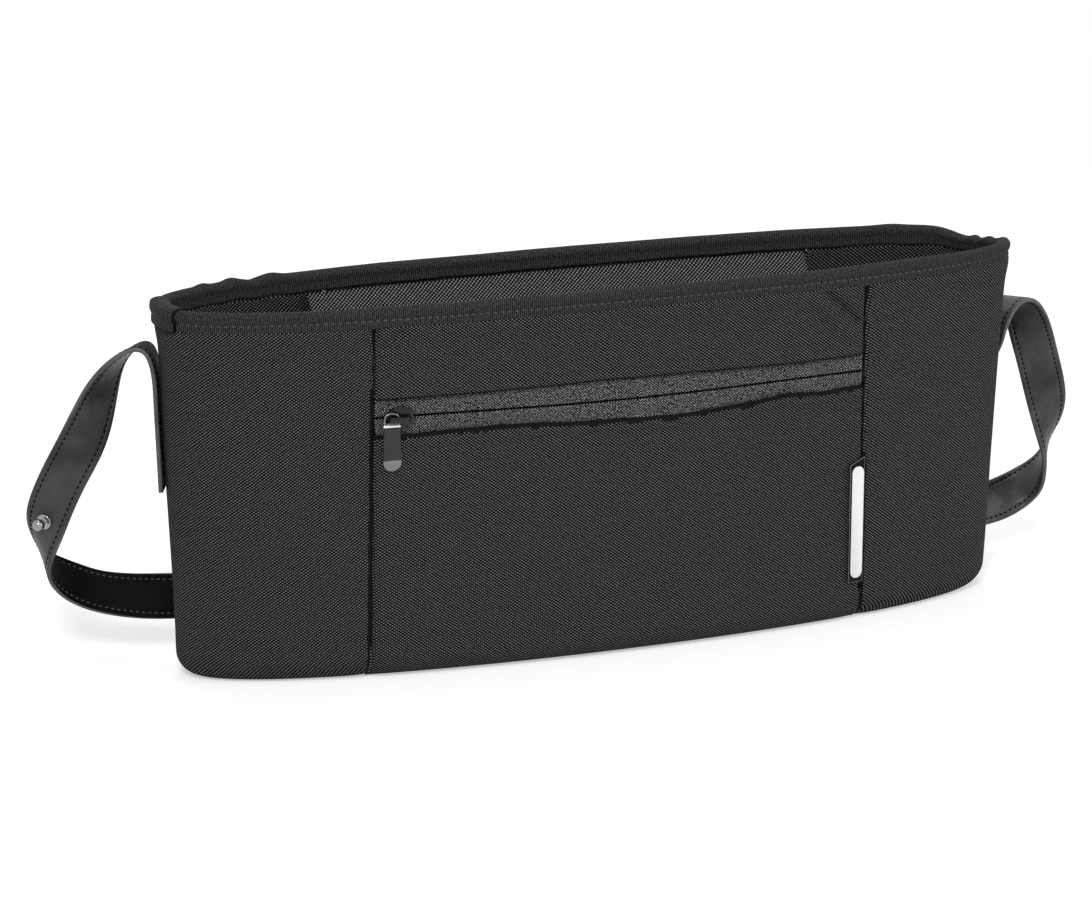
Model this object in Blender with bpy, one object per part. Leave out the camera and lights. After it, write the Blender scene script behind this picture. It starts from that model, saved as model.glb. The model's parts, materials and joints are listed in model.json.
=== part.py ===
"""Stroller organizer: a long open-top padded bag with a zipped front pocket, three compartments and
a leatherette hanging strap at each end. Metres, +Z up, front towards -Y, origin at
the middle of the base."""

import math

import bmesh
import bpy
import numpy as np
from mathutils import Matrix, Vector

GAP = 0.0003

# The shell's outline in plan is a superellipse that changes from the base to the rim.
HEIGHT = 0.178
BASE_HALF_LENGTH = 0.206
BASE_HALF_DEPTH = 0.045
BASE_END_POWER = 2.1
BASE_SIDE_POWER = 2.0
RIM_HALF_LENGTH = 0.210
RIM_HALF_DEPTH = 0.044
RIM_END_POWER = 2.5
RIM_SIDE_POWER = 2.8
EDGE_RADIUS = 0.012
WALL = 0.0036
PANEL = 0.0016
LINING = 0.0015
BASE_THICKNESS = 0.003

# Seams between the middle panels and the end panels.
BASE_SEAM = 0.124
RIM_SEAM = 0.121

# Ribbed tape folded over the rim.
BINDING_HEIGHT = 0.011
BINDING_THICKNESS = 0.0009
BINDING_ROUND = 0.0016
BINDING_SECTIONS = 96

# Front pocket: a lining that stands clear of the zip and closes on the shell above and below it.
POCKET_DEPTH = 0.0059
POCKET_BACK = 0.002
POCKET_SIDE = 0.0027
POCKET_FLOOR = 0.014
POCKET_FULL_FROM = 0.040
POCKET_ABOVE_ZIP = 0.014
POCKET_TOP_DROP = 0.017
POCKET_LEAST = 0.02

# Inner walls. The drops are below the rim.
DIVIDER_X = 0.1255
DIVIDER_THICKNESS = 0.002
DIVIDER_FRONT_DROP = 0.030
DIVIDER_DIP_DROP = 0.060
DIVIDER_BACK_DROP = 0.020
LINING_STANDOFF = 0.009
LINING_SLOPE = 0.014

# Zip: flat side of the tapes outwards, coils inside.
ZIP_HEIGHT = 0.126
ZIP_WINDOW_UP = 0.0083
ZIP_WINDOW_DOWN = 0.0082
TAPE_REACH = 0.013
TAPE_DEPTH = 0.0023
TAPE_THICKNESS = 0.0006
CHANNEL_HALF = 0.0007
COIL_THICKNESS = 0.0017
COIL_HALF_HEIGHT = 0.0029
COIL_STRIP = 0.0009
COIL_PITCH = 0.0024
COIL_TOOTH = 0.0013

# Slider, along the zip from its rounded nose.
SLIDER_LENGTH = 0.013
SLIDER_SHOULDER = 0.0051
SLIDER_SHOULDER_AT = 0.0068
SLIDER_TAIL = 0.0037
SLIDER_NOSE = 0.0026
SLIDER_PLATE = 0.0013
SLIDER_LIP = 0.0009
SLIDER_LIP_FROM = 0.0022
SLIDER_LIP_SHORT = 0.0012
SLIDER_SOFT = 0.0008
SLIDER_START = 0.0055
WEDGE_HALF = 0.0004
WEDGE_LENGTH = 0.0042
WEDGE_FROM = 0.0004
WEDGE_SOFT = 0.0008
BRIDGE_WIDTH = 0.0024
BRIDGE_FROM = 0.001
BRIDGE_TO = 0.0113
BRIDGE_THICKNESS = 0.0013
BRIDGE_SOFT = 0.0011
EYE_HEIGHT = 0.0034

# Wire ring and pull.
RING_WIRE = 0.00045
RING_LEG_AT = 0.0055
RING_WIDTH = 0.0064
RING_ARCH = 0.00195
RING_SPRING = 0.0009
RING_BAR_DROP = 0.003
RING_BEND = 0.0008
PULL_LENGTH = 0.0203
PULL_TOP_HALF = 0.0037
PULL_TIP_HALF = 0.0042
PULL_THICKNESS = 0.0016
PULL_TOP_DROP = 0.00095
PULL_TIP_SLOPE = 0.0053
PULL_TIP_THICKNESS = 0.0007
PULL_TIP_RUN = 0.0065
PULL_CORNER = 0.0004
HOOK_HALF = 0.0022
HOOK_WALL = 0.0007

# Label tab in the right seam.
LABEL_WIDTH = 0.008
LABEL_THICKNESS = 0.0012
LABEL_FROM = 0.021
LABEL_TO = 0.0845
LABEL_SLANT = 0.0038
INLAY_WIDTH = 0.0064
INLAY_THICKNESS = 0.0005
INLAY_FROM = 0.0235
INLAY_TO = 0.0800

# Straps. A tab is sewn on each end of the bag, where the surface faces 20 degrees behind the end.
STRAP_WIDTH = 0.0215
STRAP_THICKNESS = 0.0024
STRAP_SECTIONS = 72
TAB_YAW = math.radians(20)
TAB_FROM = 0.090
TAB_TO = 0.118
LEFT_ARCH_FROM = 0.143
RIGHT_ARCH_FROM = 0.122
BACK_TAB_FROM = 0.173
BACK_TAB_TO = 0.136
BACK_TAB_HEIGHT = 0.030
STRAP_LOOP = 0.1

# Free run of each strap, as a cord's route: how far outwards, backwards and up its middle lies from
# the top of its sewn tab, in shares of STRAP_LOOP, and which way its width points there.
LEFT_ROUTE = (
    ((0.034, 0.030, 0.362), (-0.34, 0.94, -0.04)),
    ((0.147, 0.081, 0.279), (-0.32, 0.89, -0.31)),
    ((0.232, 0.112, 0.150), (-0.64, 0.52, -0.57)),
    ((0.283, 0.131, 0.026), (-0.79, 0.19, -0.58)),
    ((0.336, 0.150, -0.098), (-0.81, -0.21, -0.55)),
    ((0.396, 0.172, -0.210), (-0.78, -0.41, -0.47)),
    ((0.449, 0.191, -0.323), (-0.79, -0.43, -0.44)),
    ((0.485, 0.204, -0.412), (-0.83, -0.53, -0.18)),
    ((0.508, 0.253, -0.563), (-0.37, -0.92, -0.13)),
    ((0.491, 0.306, -0.706), (0.20, -0.94, -0.27)),
    ((0.399, 0.345, -0.788), (0.12, -0.71, -0.69)),
    ((0.292, 0.330, -0.851), (0.26, -0.70, -0.66)),
    ((0.109, 0.265, -0.885), (0.20, -0.55, -0.81)),
    ((-0.050, 0.200, -0.885), (0.08, -0.30, -0.95)),
    ((-0.180, 0.166, -0.882), (0.00, -0.10, -1.00)),
)
RIGHT_ROUTE = (
    ((0.028, 0.012, 0.110), (-0.34, 0.94, 0.00)),
    ((0.106, 0.056, 0.207), (-0.29, 0.95, -0.08)),
    ((0.214, 0.105, 0.222), (-0.29, 0.95, -0.10)),
    ((0.302, 0.137, 0.060), (-0.70, 0.58, -0.41)),
    ((0.359, 0.158, -0.083), (-0.93, 0.24, -0.29)),
    ((0.421, 0.181, -0.254), (-0.94, 0.28, -0.19)),
    ((0.462, 0.196, -0.385), (-1.00, -0.03, 0.06)),
    ((0.471, 0.199, -0.503), (-0.82, -0.45, 0.30)),
    ((0.476, 0.215, -0.610), (-0.52, -0.80, 0.25)),
    ((0.485, 0.244, -0.709), (-0.31, -0.94, -0.14)),
    ((0.469, 0.278, -0.780), (-0.18, -0.78, -0.60)),
    ((0.378, 0.311, -0.865), (-0.10, -0.70, -0.71)),
    ((0.256, 0.300, -0.910), (-0.12, -0.53, -0.83)),
    ((0.100, 0.255, -0.912), (-0.08, -0.36, -0.93)),
    ((-0.050, 0.200, -0.900), (-0.04, -0.20, -0.98)),
    ((-0.180, 0.166, -0.885), (0.00, -0.08, -1.00)),
)

# Ball stud on the inner face of the left strap.
STUD_AFTER_TAB = 0.132
STUD_BASE_RADIUS = 0.0037
STUD_BASE_THICKNESS = 0.0009
STUD_WAIST_RADIUS = 0.0013
STUD_BALL_RADIUS = 0.0028
STUD_HEIGHT = 0.0078
STUD_SHANK_RADIUS = 0.0012
STUD_SHANK_LENGTH = 0.0012

WALL_TOP = HEIGHT - BINDING_THICKNESS - GAP
POCKET_FULL_TO = ZIP_HEIGHT + POCKET_ABOVE_ZIP
POCKET_TOP = HEIGHT - POCKET_TOP_DROP
DIVIDER_FRONT_TOP = HEIGHT - DIVIDER_FRONT_DROP
DIVIDER_DIP = HEIGHT - DIVIDER_DIP_DROP
DIVIDER_BACK_TOP = HEIGHT - DIVIDER_BACK_DROP


def blend(low, high, share):
    """Value part of the way from low to high."""
    return low + (high - low) * share


EDGE_LEVELS = [0, BASE_THICKNESS * 0.3, BASE_THICKNESS]
EDGE_LEVELS += [blend(BASE_THICKNESS, EDGE_RADIUS, share) for share in (0.3, 0.62, 1)]
WALL_LEVELS = [blend(EDGE_RADIUS, WALL_TOP, share) for share in (0.2, 0.47, 0.75, 1)]


def outline_sizes(z, inset):
    """Half length, half depth and the two exponents of the shell at a height, inside its outer face."""
    up = z / HEIGHT
    rest = max(0.0, EDGE_RADIUS - z)
    roll = EDGE_RADIUS - math.sqrt(EDGE_RADIUS**2 - rest**2)
    return (
        blend(BASE_HALF_LENGTH, RIM_HALF_LENGTH, up) - roll - inset,
        blend(BASE_HALF_DEPTH, RIM_HALF_DEPTH, up) - roll - inset,
        blend(BASE_END_POWER, RIM_END_POWER, up),
        blend(BASE_SIDE_POWER, RIM_SIDE_POWER, up),
    )


def wall_y(x, z, inset):
    """Distance of the shell's long side from the middle plane."""
    length, depth, end_power, side_power = outline_sizes(z, inset)
    share = max(0.0, 1 - abs(x / length) ** end_power)
    return depth * share ** (1 / side_power)


def outline_point(angle, z, inset):
    """Point of the outline at an angle round it, from the right end."""
    length, depth, end_power, side_power = outline_sizes(z, inset)
    across, along = math.sin(angle), math.cos(angle)
    x = math.copysign(abs(along) ** (2 / end_power), along) * length
    y = math.copysign(abs(across) ** (2 / side_power), across) * depth
    return (x, y, z)


def seam_x(z):
    """Distance of the front and back seams from the middle at a height."""
    return blend(BASE_SEAM, RIM_SEAM, z / HEIGHT)


def even_angles(first, last, count, z):
    """Angles between two others that divide the outline into stretches of one length."""
    angles = np.linspace(first, last, 1201)
    points = np.array([outline_point(angle, z, 0) for angle in angles])
    lengths = np.concatenate([[0], np.cumsum(np.linalg.norm(np.diff(points, axis=0), axis=1))])
    return np.interp(np.linspace(0, lengths[-1], count), lengths, angles)


def material(name, colour, roughness, metallic=0.0):
    """A plain finish in the part's own colour."""
    made = bpy.data.materials.new(name)
    made.use_nodes = True
    shader = made.node_tree.nodes["Principled BSDF"]
    shader.inputs["Base Color"].default_value = (*colour, 1)
    shader.inputs["Roughness"].default_value = roughness
    shader.inputs["Metallic"].default_value = metallic
    return made


def mesh_object(name, bm, finish, smooth=True):
    """Links a mesh to the scene under a name, with its faces turned outwards."""
    bmesh.ops.recalc_face_normals(bm, faces=bm.faces[:])
    mesh = bpy.data.meshes.new(name)
    bm.to_mesh(mesh)
    bm.free()
    mesh.materials.append(finish)
    if smooth:
        mesh.shade_smooth()
        mesh.set_sharp_from_angle(angle=math.radians(40))
    made = bpy.data.objects.new(name, mesh)
    bpy.context.scene.collection.objects.link(made)
    return made


def loft_mesh(rings, closed=False):
    """Skins a row of rings of points. An open row gets a face at each end."""
    bm = bmesh.new()
    rows = [[bm.verts.new(point) for point in ring] for ring in rings]
    pairs = list(zip(rows, rows[1:]))
    if closed:
        pairs.append((rows[-1], rows[0]))
    for first, second in pairs:
        for i in range(len(first)):
            j = (i + 1) % len(first)
            bm.faces.new((first[i], first[j], second[j], second[i]))
    if not closed:
        bm.faces.new(rows[0])
        bm.faces.new(rows[-1])
    return bm


def loft(name, rings, finish, closed=False):
    """A solid skinned over rings of points."""
    return mesh_object(name, loft_mesh(rings, closed), finish)


def prism_mesh(outline, near, far):
    """Outline of (x, z) points carried from one depth to another."""
    return loft_mesh([[(x, depth, z) for x, z in outline] for depth in (near, far)])


def box_mesh(low, high):
    """Box between two corners."""
    bm = bmesh.new()
    bmesh.ops.create_cube(bm, size=1)
    size = [b - a for a, b in zip(low, high)]
    middle = [(a + b) / 2 for a, b in zip(low, high)]
    bmesh.ops.scale(bm, vec=size, verts=bm.verts[:])
    bmesh.ops.translate(bm, vec=middle, verts=bm.verts[:])
    return bm


def boolean(target, helper, operation):
    """Joins a hidden helper to a piece, or cuts it out."""
    helper.hide_render = True
    helper.display_type = "WIRE"
    helper.parent = target.parent
    step = target.modifiers.new(helper.name, "BOOLEAN")
    step.object = helper
    step.operation = operation


def middle_panel(name, side, outer, inner, levels, finish):
    """Panel of the long front (-1) or back (+1) between the seams."""
    rings = []
    for z in levels:
        reach = seam_x(z) - GAP / 2
        across = np.linspace(-reach, reach, 15)
        face = [(x, side * wall_y(x, z, outer), z) for x in across]
        back = [(x, side * wall_y(x, z, inner), z) for x in across[::-1]]
        rings.append(face + back)
    return loft(name, rings, finish)


def end_panel(name, side, finish):
    """Padded end of the bag, from the front seam round to the back seam."""
    rings = []
    for z in EDGE_LEVELS + WALL_LEVELS:
        ring = []
        for inset in (0, WALL):
            length, _, end_power, _ = outline_sizes(z, inset)
            reach = math.acos(((seam_x(z) + GAP / 2) / length) ** (end_power / 2))
            points = [outline_point(angle, z, inset) for angle in even_angles(-reach, reach, 25, z)]
            ring += points if inset == 0 else points[::-1]
        rings.append([(side * x, y, z) for x, y, z in ring])
    return loft(name, rings, finish)


def base_panel(finish):
    """Firm oval panel that closes the bottom."""
    angles = even_angles(0, 2 * math.pi, 73, 0)[:-1]
    rings = [[outline_point(angle, z, WALL + GAP) for angle in angles] for z in EDGE_LEVELS[:3]]
    return loft("base_panel", rings, finish)


def rim_binding(finish):
    """Tape folded over the top of every wall."""
    outside = -GAP - BINDING_THICKNESS
    inside = WALL + GAP + BINDING_THICKNESS
    foot = HEIGHT - BINDING_HEIGHT
    soft = BINDING_ROUND
    section = (
        (outside, foot),
        (outside, HEIGHT - soft),
        (outside + soft * 0.3, HEIGHT - soft * 0.3),
        (outside + soft, HEIGHT),
        (inside - soft, HEIGHT),
        (inside - soft * 0.3, HEIGHT - soft * 0.3),
        (inside, HEIGHT - soft),
        (inside, foot),
        (WALL + GAP, foot),
        (WALL + GAP, HEIGHT - BINDING_THICKNESS),
        (-GAP, HEIGHT - BINDING_THICKNESS),
        (-GAP, foot),
    )
    angles = even_angles(0, 2 * math.pi, BINDING_SECTIONS + 1, HEIGHT)[:-1]
    rings = [[outline_point(angle, z, inset) for inset, z in section] for angle in angles]
    return loft("rim_binding", rings, finish, closed=True)


def pocket_share(z):
    """How far the pocket's lining stands off at a height, from closed to full."""
    rise = (z - POCKET_FLOOR) / (POCKET_FULL_FROM - POCKET_FLOOR)
    fall = (POCKET_TOP - z) / (POCKET_TOP - POCKET_FULL_TO)
    return min(1.0, max(POCKET_LEAST, min(rise, fall)))


def pocket_lining(finish):
    """Inner wall of the front pocket, with a return along each seam."""
    closed = PANEL + GAP
    rings = []
    levels = EDGE_LEVELS + [blend(POCKET_FLOOR, POCKET_FULL_FROM, 0.04), POCKET_FULL_FROM]
    levels += [blend(POCKET_FULL_FROM, POCKET_FULL_TO, 0.5), POCKET_FULL_TO, POCKET_TOP, WALL_TOP]
    for z in levels:
        share = pocket_share(z)
        face = closed + POCKET_DEPTH * share
        side_face = closed + (TAPE_DEPTH + TAPE_THICKNESS + 2 * GAP - closed) * share
        back = blend(WALL, closed + POCKET_DEPTH + POCKET_BACK, share)
        reach = seam_x(z) - GAP / 2
        bay = reach - POCKET_SIDE
        across = np.linspace(-bay, bay, 13)
        ring = [(-reach, -wall_y(reach, z, side_face), z), (-bay, -wall_y(bay, z, side_face), z)]
        ring += [(x, -wall_y(x, z, face), z) for x in across]
        ring += [(bay, -wall_y(bay, z, side_face), z), (reach, -wall_y(reach, z, side_face), z)]
        across = np.linspace(reach, -reach, 13)
        ring += [(x, -wall_y(x, z, back), z) for x in across]
        rings.append(ring)
    return loft("pocket_lining", rings, finish)


def divider(name, side, finish):
    """Upright wall between two compartments, dipping between the front and the back."""
    floor = BASE_THICKNESS + GAP
    inset = WALL + GAP
    levels = [floor, *EDGE_LEVELS[4:]]
    levels += [blend(EDGE_RADIUS, DIVIDER_FRONT_TOP, share) for share in (0.35, 0.72)]
    front = [(-wall_y(DIVIDER_X, z, inset), z) for z in levels]
    back = [(-y, z) for y, z in front[::-1]]
    deep = wall_y(DIVIDER_X, DIVIDER_FRONT_TOP, inset)
    dip = []
    for share in np.linspace(0, 1, 9):
        straight = blend(DIVIDER_FRONT_TOP, DIVIDER_BACK_TOP, share)
        sag = (straight - DIVIDER_DIP) * math.sin(math.pi * share)
        dip.append((blend(-deep, deep, share), straight - sag))
    outline = front + dip + back
    rings = []
    for x in (DIVIDER_X - DIVIDER_THICKNESS / 2, DIVIDER_X + DIVIDER_THICKNESS / 2):
        rings.append([(side * x, y, z) for y, z in outline])
    return loft(name, rings, finish)


def centre_lining(finish):
    """Back wall of the middle compartment, hung from the binding and standing off the back panel."""
    top = HEIGHT - BINDING_HEIGHT - GAP
    near = WALL + GAP
    levels = [(BASE_THICKNESS + GAP, 1)]
    levels += [(blend(EDGE_RADIUS, top - LINING_SLOPE, share), 1) for share in (0, 0.35, 0.7, 1)]
    levels.append((top, 0))
    reach = DIVIDER_X - DIVIDER_THICKNESS / 2 - GAP
    rings = []
    for z, share in levels:
        across = np.linspace(-reach, reach, 13)
        hung = near + LINING_STANDOFF * share
        face = [(x, wall_y(x, z, hung), z) for x in across]
        front = [(x, wall_y(x, z, hung + LINING), z) for x in across[::-1]]
        rings.append(face + front)
    return loft("centre_lining", rings, finish)


def zip_radius():
    """Radius of the arc that the zip follows in plan."""
    bow = wall_y(0, ZIP_HEIGHT, 0) - wall_y(seam_x(ZIP_HEIGHT), ZIP_HEIGHT, 0)
    return (seam_x(ZIP_HEIGHT) ** 2 + bow**2) / (2 * bow)


def zip_point(along, depth, up):
    """Point of the zip: arc length from the middle, depth behind the bag's face, height above the zip."""
    radius = zip_radius()
    turn = along / radius
    y = radius - wall_y(0, ZIP_HEIGHT, 0) - (radius - depth) * math.cos(turn)
    return ((radius - depth) * math.sin(turn), y, ZIP_HEIGHT + up)


def zip_tape(name, side, finish):
    """Half of the zip's tape, upper (+1) or lower (-1)."""
    reach = seam_x(ZIP_HEIGHT) - 3 * GAP
    depths = (TAPE_DEPTH, TAPE_DEPTH + TAPE_THICKNESS)
    heights = (side * CHANNEL_HALF, side * TAPE_REACH)
    corners = [(depths[0], heights[0]), (depths[0], heights[1]), (depths[1], heights[1]), (depths[1], heights[0])]
    rings = [[zip_point(along, *corner) for corner in corners] for along in np.linspace(-reach, reach, 17)]
    return loft(name, rings, finish)


def zip_coil(name, side, finish):
    """Row of coil elements under one tape. The two rows stand half a pitch apart."""
    depths = (TAPE_DEPTH + TAPE_THICKNESS + GAP, TAPE_DEPTH + TAPE_THICKNESS + GAP + COIL_THICKNESS)
    reach = seam_x(ZIP_HEIGHT) - POCKET_SIDE - 4 * GAP
    shift = COIL_PITCH / 2 if side > 0 else 0
    count = int((2 * reach - shift) / COIL_PITCH)
    root = side * (COIL_HALF_HEIGHT - COIL_STRIP)
    tip = side * CHANNEL_HALF
    edge = side * COIL_HALF_HEIGHT
    bm = bmesh.new()
    columns = []
    for i in range(count):
        start = shift - reach + i * COIL_PITCH
        for along in (start, start + COIL_TOOTH):
            column = [[bm.verts.new(zip_point(along, depth, up)) for up in (edge, root, tip)] for depth in depths]
            columns.append(column)
    for i, (first, second) in enumerate(zip(columns, columns[1:])):
        tooth = i % 2 == 0
        rows = 2 if tooth else 1
        for layer in (0, 1):
            for row in range(rows):
                bm.faces.new((first[layer][row], first[layer][row + 1], second[layer][row + 1], second[layer][row]))
        for row in (0, rows):
            bm.faces.new((first[0][row], second[0][row], second[1][row], first[1][row]))
        if tooth:
            for column in (first, second):
                bm.faces.new((column[0][1], column[0][2], column[1][2], column[1][1]))
    for column in (columns[0], columns[-1]):
        bm.faces.new((column[0][0], column[0][1], column[1][1], column[1][0]))
    bmesh.ops.delete(bm, geom=[vert for vert in bm.verts if not vert.link_faces], context="VERTS")
    return mesh_object(name, bm, finish, smooth=False)


def slider_outline(scale=1.0):
    """Shield outline of the slider's plates: rounded nose, wide shoulders and a flat tail."""
    half = (
        (0.0, SLIDER_NOSE * 0.46),
        (SLIDER_SOFT, SLIDER_NOSE),
        (SLIDER_SHOULDER_AT * 0.5, (SLIDER_NOSE + SLIDER_SHOULDER) / 2),
        (SLIDER_SHOULDER_AT - SLIDER_SOFT, SLIDER_SHOULDER),
        (SLIDER_SHOULDER_AT + SLIDER_SOFT * 1.25, SLIDER_SHOULDER * 0.97),
        (SLIDER_LENGTH * 0.8, SLIDER_TAIL * 1.06),
        (SLIDER_LENGTH - SLIDER_SOFT * 0.6, SLIDER_TAIL),
        (SLIDER_LENGTH, SLIDER_TAIL - SLIDER_SOFT * 0.6),
    )
    upper = [(x, z * scale) for x, z in half]
    return upper + [(x, -z) for x, z in upper[::-1]]


def bridge_outline():
    """Side view of the slider's bridge as (x, depth): an arch over the eye for the ring."""
    foot = TAPE_DEPTH - GAP - SLIDER_PLATE / 2
    under = TAPE_DEPTH - GAP - SLIDER_PLATE - EYE_HEIGHT
    top = under - BRIDGE_THICKNESS
    soft = BRIDGE_SOFT
    outer = [
        (BRIDGE_FROM, foot),
        (BRIDGE_FROM, top + soft),
        (BRIDGE_FROM + soft * 0.4, top + soft * 0.3),
        (BRIDGE_FROM + soft * 1.3, top),
        (BRIDGE_TO - soft * 2.2, top),
        (BRIDGE_TO - soft, top + soft * 0.5),
        (BRIDGE_TO, top + soft * 1.8),
        (BRIDGE_TO, foot),
    ]
    inner = [
        (BRIDGE_TO - BRIDGE_THICKNESS, foot),
        (BRIDGE_TO - BRIDGE_THICKNESS, under + soft),
        (BRIDGE_TO - BRIDGE_THICKNESS - soft, under),
        (BRIDGE_FROM + BRIDGE_THICKNESS + soft * 0.5, under),
        (BRIDGE_FROM + BRIDGE_THICKNESS, under + soft * 0.5),
        (BRIDGE_FROM + BRIDGE_THICKNESS, foot),
    ]
    return outer, inner


def slider(axis, along, finish):
    """Cast slider: outer plate with its bridge, inner plate with lips round the coil, wedge between."""
    plate_back = TAPE_DEPTH - GAP
    inner_plate = TAPE_DEPTH + TAPE_THICKNESS + 2 * GAP + COIL_THICKNESS
    body = mesh_object("slider_body", prism_mesh(slider_outline(), plate_back - SLIDER_PLATE, plate_back), finish)
    place_on_zip(body, axis, along)
    helpers = [("slider_inner_plate", prism_mesh(slider_outline(), inner_plate, inner_plate + SLIDER_PLATE))]
    lip_low = COIL_HALF_HEIGHT + GAP
    lip_front = TAPE_DEPTH + TAPE_THICKNESS + GAP
    for name, side in (("slider_lip_upper", 1), ("slider_lip_lower", -1)):
        heights = sorted((side * lip_low, side * (lip_low + SLIDER_LIP)))
        low = (SLIDER_LIP_FROM, lip_front, heights[0])
        high = (SLIDER_LENGTH - SLIDER_LIP_SHORT, inner_plate + SLIDER_PLATE / 2, heights[1])
        helpers.append((name, box_mesh(low, high)))
    wedge = [
        (WEDGE_FROM, 0),
        (WEDGE_FROM + WEDGE_SOFT, WEDGE_HALF),
        (WEDGE_LENGTH * 0.6, WEDGE_HALF),
        (WEDGE_LENGTH, 0),
        (WEDGE_LENGTH * 0.6, -WEDGE_HALF),
        (WEDGE_FROM + WEDGE_SOFT, -WEDGE_HALF),
    ]
    wedge_depths = (plate_back - SLIDER_PLATE / 2, inner_plate + SLIDER_PLATE / 2)
    helpers.append(("slider_wedge", prism_mesh(wedge, *wedge_depths)))
    outer, inner = bridge_outline()
    halves = (-BRIDGE_WIDTH / 2, BRIDGE_WIDTH / 2)
    bridge = loft_mesh([[(x, depth, z) for x, depth in outer + inner] for z in halves])
    helpers.append(("slider_bridge", bridge))
    for name, bm in helpers:
        helper = mesh_object(name, bm, finish, smooth=False)
        place_on_zip(helper, axis, along)
        boolean(body, helper, "UNION")
    return body


def place_on_zip(made, axis, along):
    """Hangs a piece on the zip's axis: local X along the zip, Y into the bag, Z up."""
    radius = zip_radius()
    made.parent = axis
    made.location = (radius * math.sin(along / radius), -radius * math.cos(along / radius), 0)
    made.rotation_euler = (0, 0, along / radius)


def ring_depth():
    """Depth of the ring's wire, which hangs just behind the slider's bridge."""
    return TAPE_DEPTH - GAP - SLIDER_PLATE - EYE_HEIGHT + GAP + RING_WIRE


def pull_ring(axis, along, finish):
    """D-shaped wire ring: one leg stands in the eye, and the pull hangs on its straight bar."""
    middle = -RING_WIDTH / 2
    points = []
    for share in np.linspace(0, 1, 13):
        angle = math.pi * share
        points.append((middle + RING_WIDTH / 2 * math.cos(angle), RING_SPRING + RING_ARCH * math.sin(angle)))
    for corner_x, sweep in ((-RING_WIDTH + RING_BEND, (180, 225, 270)), (-RING_BEND, (270, 315, 360))):
        for degrees in sweep:
            angle = math.radians(degrees)
            points.append((corner_x + RING_BEND * math.cos(angle), RING_BEND * (1 + math.sin(angle)) - RING_BAR_DROP))
    curve = bpy.data.curves.new("pull_ring", "CURVE")
    curve.dimensions = "3D"
    curve.bevel_depth = RING_WIRE
    curve.bevel_resolution = 2
    wire = curve.splines.new("POLY")
    wire.points.add(len(points) - 1)
    for point, (x, z) in zip(wire.points, points):
        point.co = (x, 0, z, 1)
    wire.use_cyclic_u = True
    curve.materials.append(finish)
    ring = bpy.data.objects.new("pull_ring", curve)
    bpy.context.scene.collection.objects.link(ring)
    place_on_zip(ring, axis, along)
    ring.location = ring.matrix_basis @ Vector((RING_LEG_AT, ring_depth(), 0))
    return ring


def pull_tab(ring, finish):
    """Flat pull with a bevelled round tip and an open hook round the ring's bar."""
    straight = PULL_LENGTH - PULL_TIP_HALF
    right = [(PULL_TOP_HALF - PULL_CORNER, 0.0), (PULL_TOP_HALF, -PULL_CORNER), (PULL_TIP_HALF, -straight)]
    for degrees in (18, 36, 54, 72):
        angle = math.radians(degrees)
        right.append((PULL_TIP_HALF * math.cos(angle), -straight - PULL_TIP_HALF * math.sin(angle)))
    outline = right + [(0, -PULL_LENGTH)] + [(-x, z) for x, z in right[::-1]]
    outline = [(x, z - PULL_TOP_DROP) for x, z in outline]
    tab = mesh_object("pull_tab", prism_mesh(outline, -PULL_THICKNESS / 2, PULL_THICKNESS / 2), finish)
    tab.parent = ring
    tab.location = (-RING_WIDTH / 2, 0, -RING_BAR_DROP)
    foot = -PULL_TOP_DROP - PULL_LENGTH
    wide = PULL_TIP_HALF * 1.25
    front = -PULL_THICKNESS * 1.1
    cut = [
        (front, foot + PULL_TIP_SLOPE + PULL_TIP_RUN),
        (-PULL_THICKNESS / 2, foot + PULL_TIP_SLOPE),
        (PULL_THICKNESS / 2 - PULL_TIP_THICKNESS, foot - PULL_CORNER),
        (front, foot - PULL_CORNER),
    ]
    bevel = loft_mesh([[(x, depth, z) for depth, z in cut] for x in (-wide, wide)])
    cutter = mesh_object("pull_tip_cut", bevel, finish, smooth=False)
    cutter.location = tab.location
    boolean(tab, cutter, "DIFFERENCE")
    inner = RING_WIRE + GAP
    outer = inner + HOOK_WALL
    hook = []
    for radius, order in ((outer, 1), (inner, -1)):
        angles = np.linspace(math.radians(95), math.radians(-70), 9)[::order]
        hook += [(radius * math.cos(angle), radius * math.sin(angle)) for angle in angles]
    hook_mesh = loft_mesh([[(x, depth, z) for depth, z in hook] for x in (-HOOK_HALF, HOOK_HALF)])
    hook_part = mesh_object("pull_hook", hook_mesh, finish, smooth=False)
    hook_part.location = tab.location
    boolean(tab, hook_part, "UNION")
    return tab


def label_patch(name, x_range, insets, levels, finish):
    """Thin patch that follows the front: x_range gives its two edges at a height."""
    rings = []
    for z, slant in levels:
        first, last = x_range(z)
        across = np.linspace(first, last, 4)
        heights = [z - slant * (last - x) / (last - first) for x in across]
        face = [(x, -wall_y(x, high, insets[0]), high) for x, high in zip(across, heights)]
        back = [(x, -wall_y(x, high, insets[1]), high) for x, high in zip(across[::-1], heights[::-1])]
        rings.append(face + back)
    return loft(name, rings, finish)


def label_tab(finish):
    """Glossy tab caught in the right seam, with a slanted upper edge."""

    def edges(z):
        return seam_x(z) - GAP - LABEL_WIDTH, seam_x(z) - GAP

    levels = [(blend(LABEL_FROM, LABEL_TO, share), LABEL_SLANT * share**3) for share in np.linspace(0, 1, 7)]
    return label_patch("label_tab", edges, (-GAP - LABEL_THICKNESS, -GAP), levels, finish)


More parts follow.
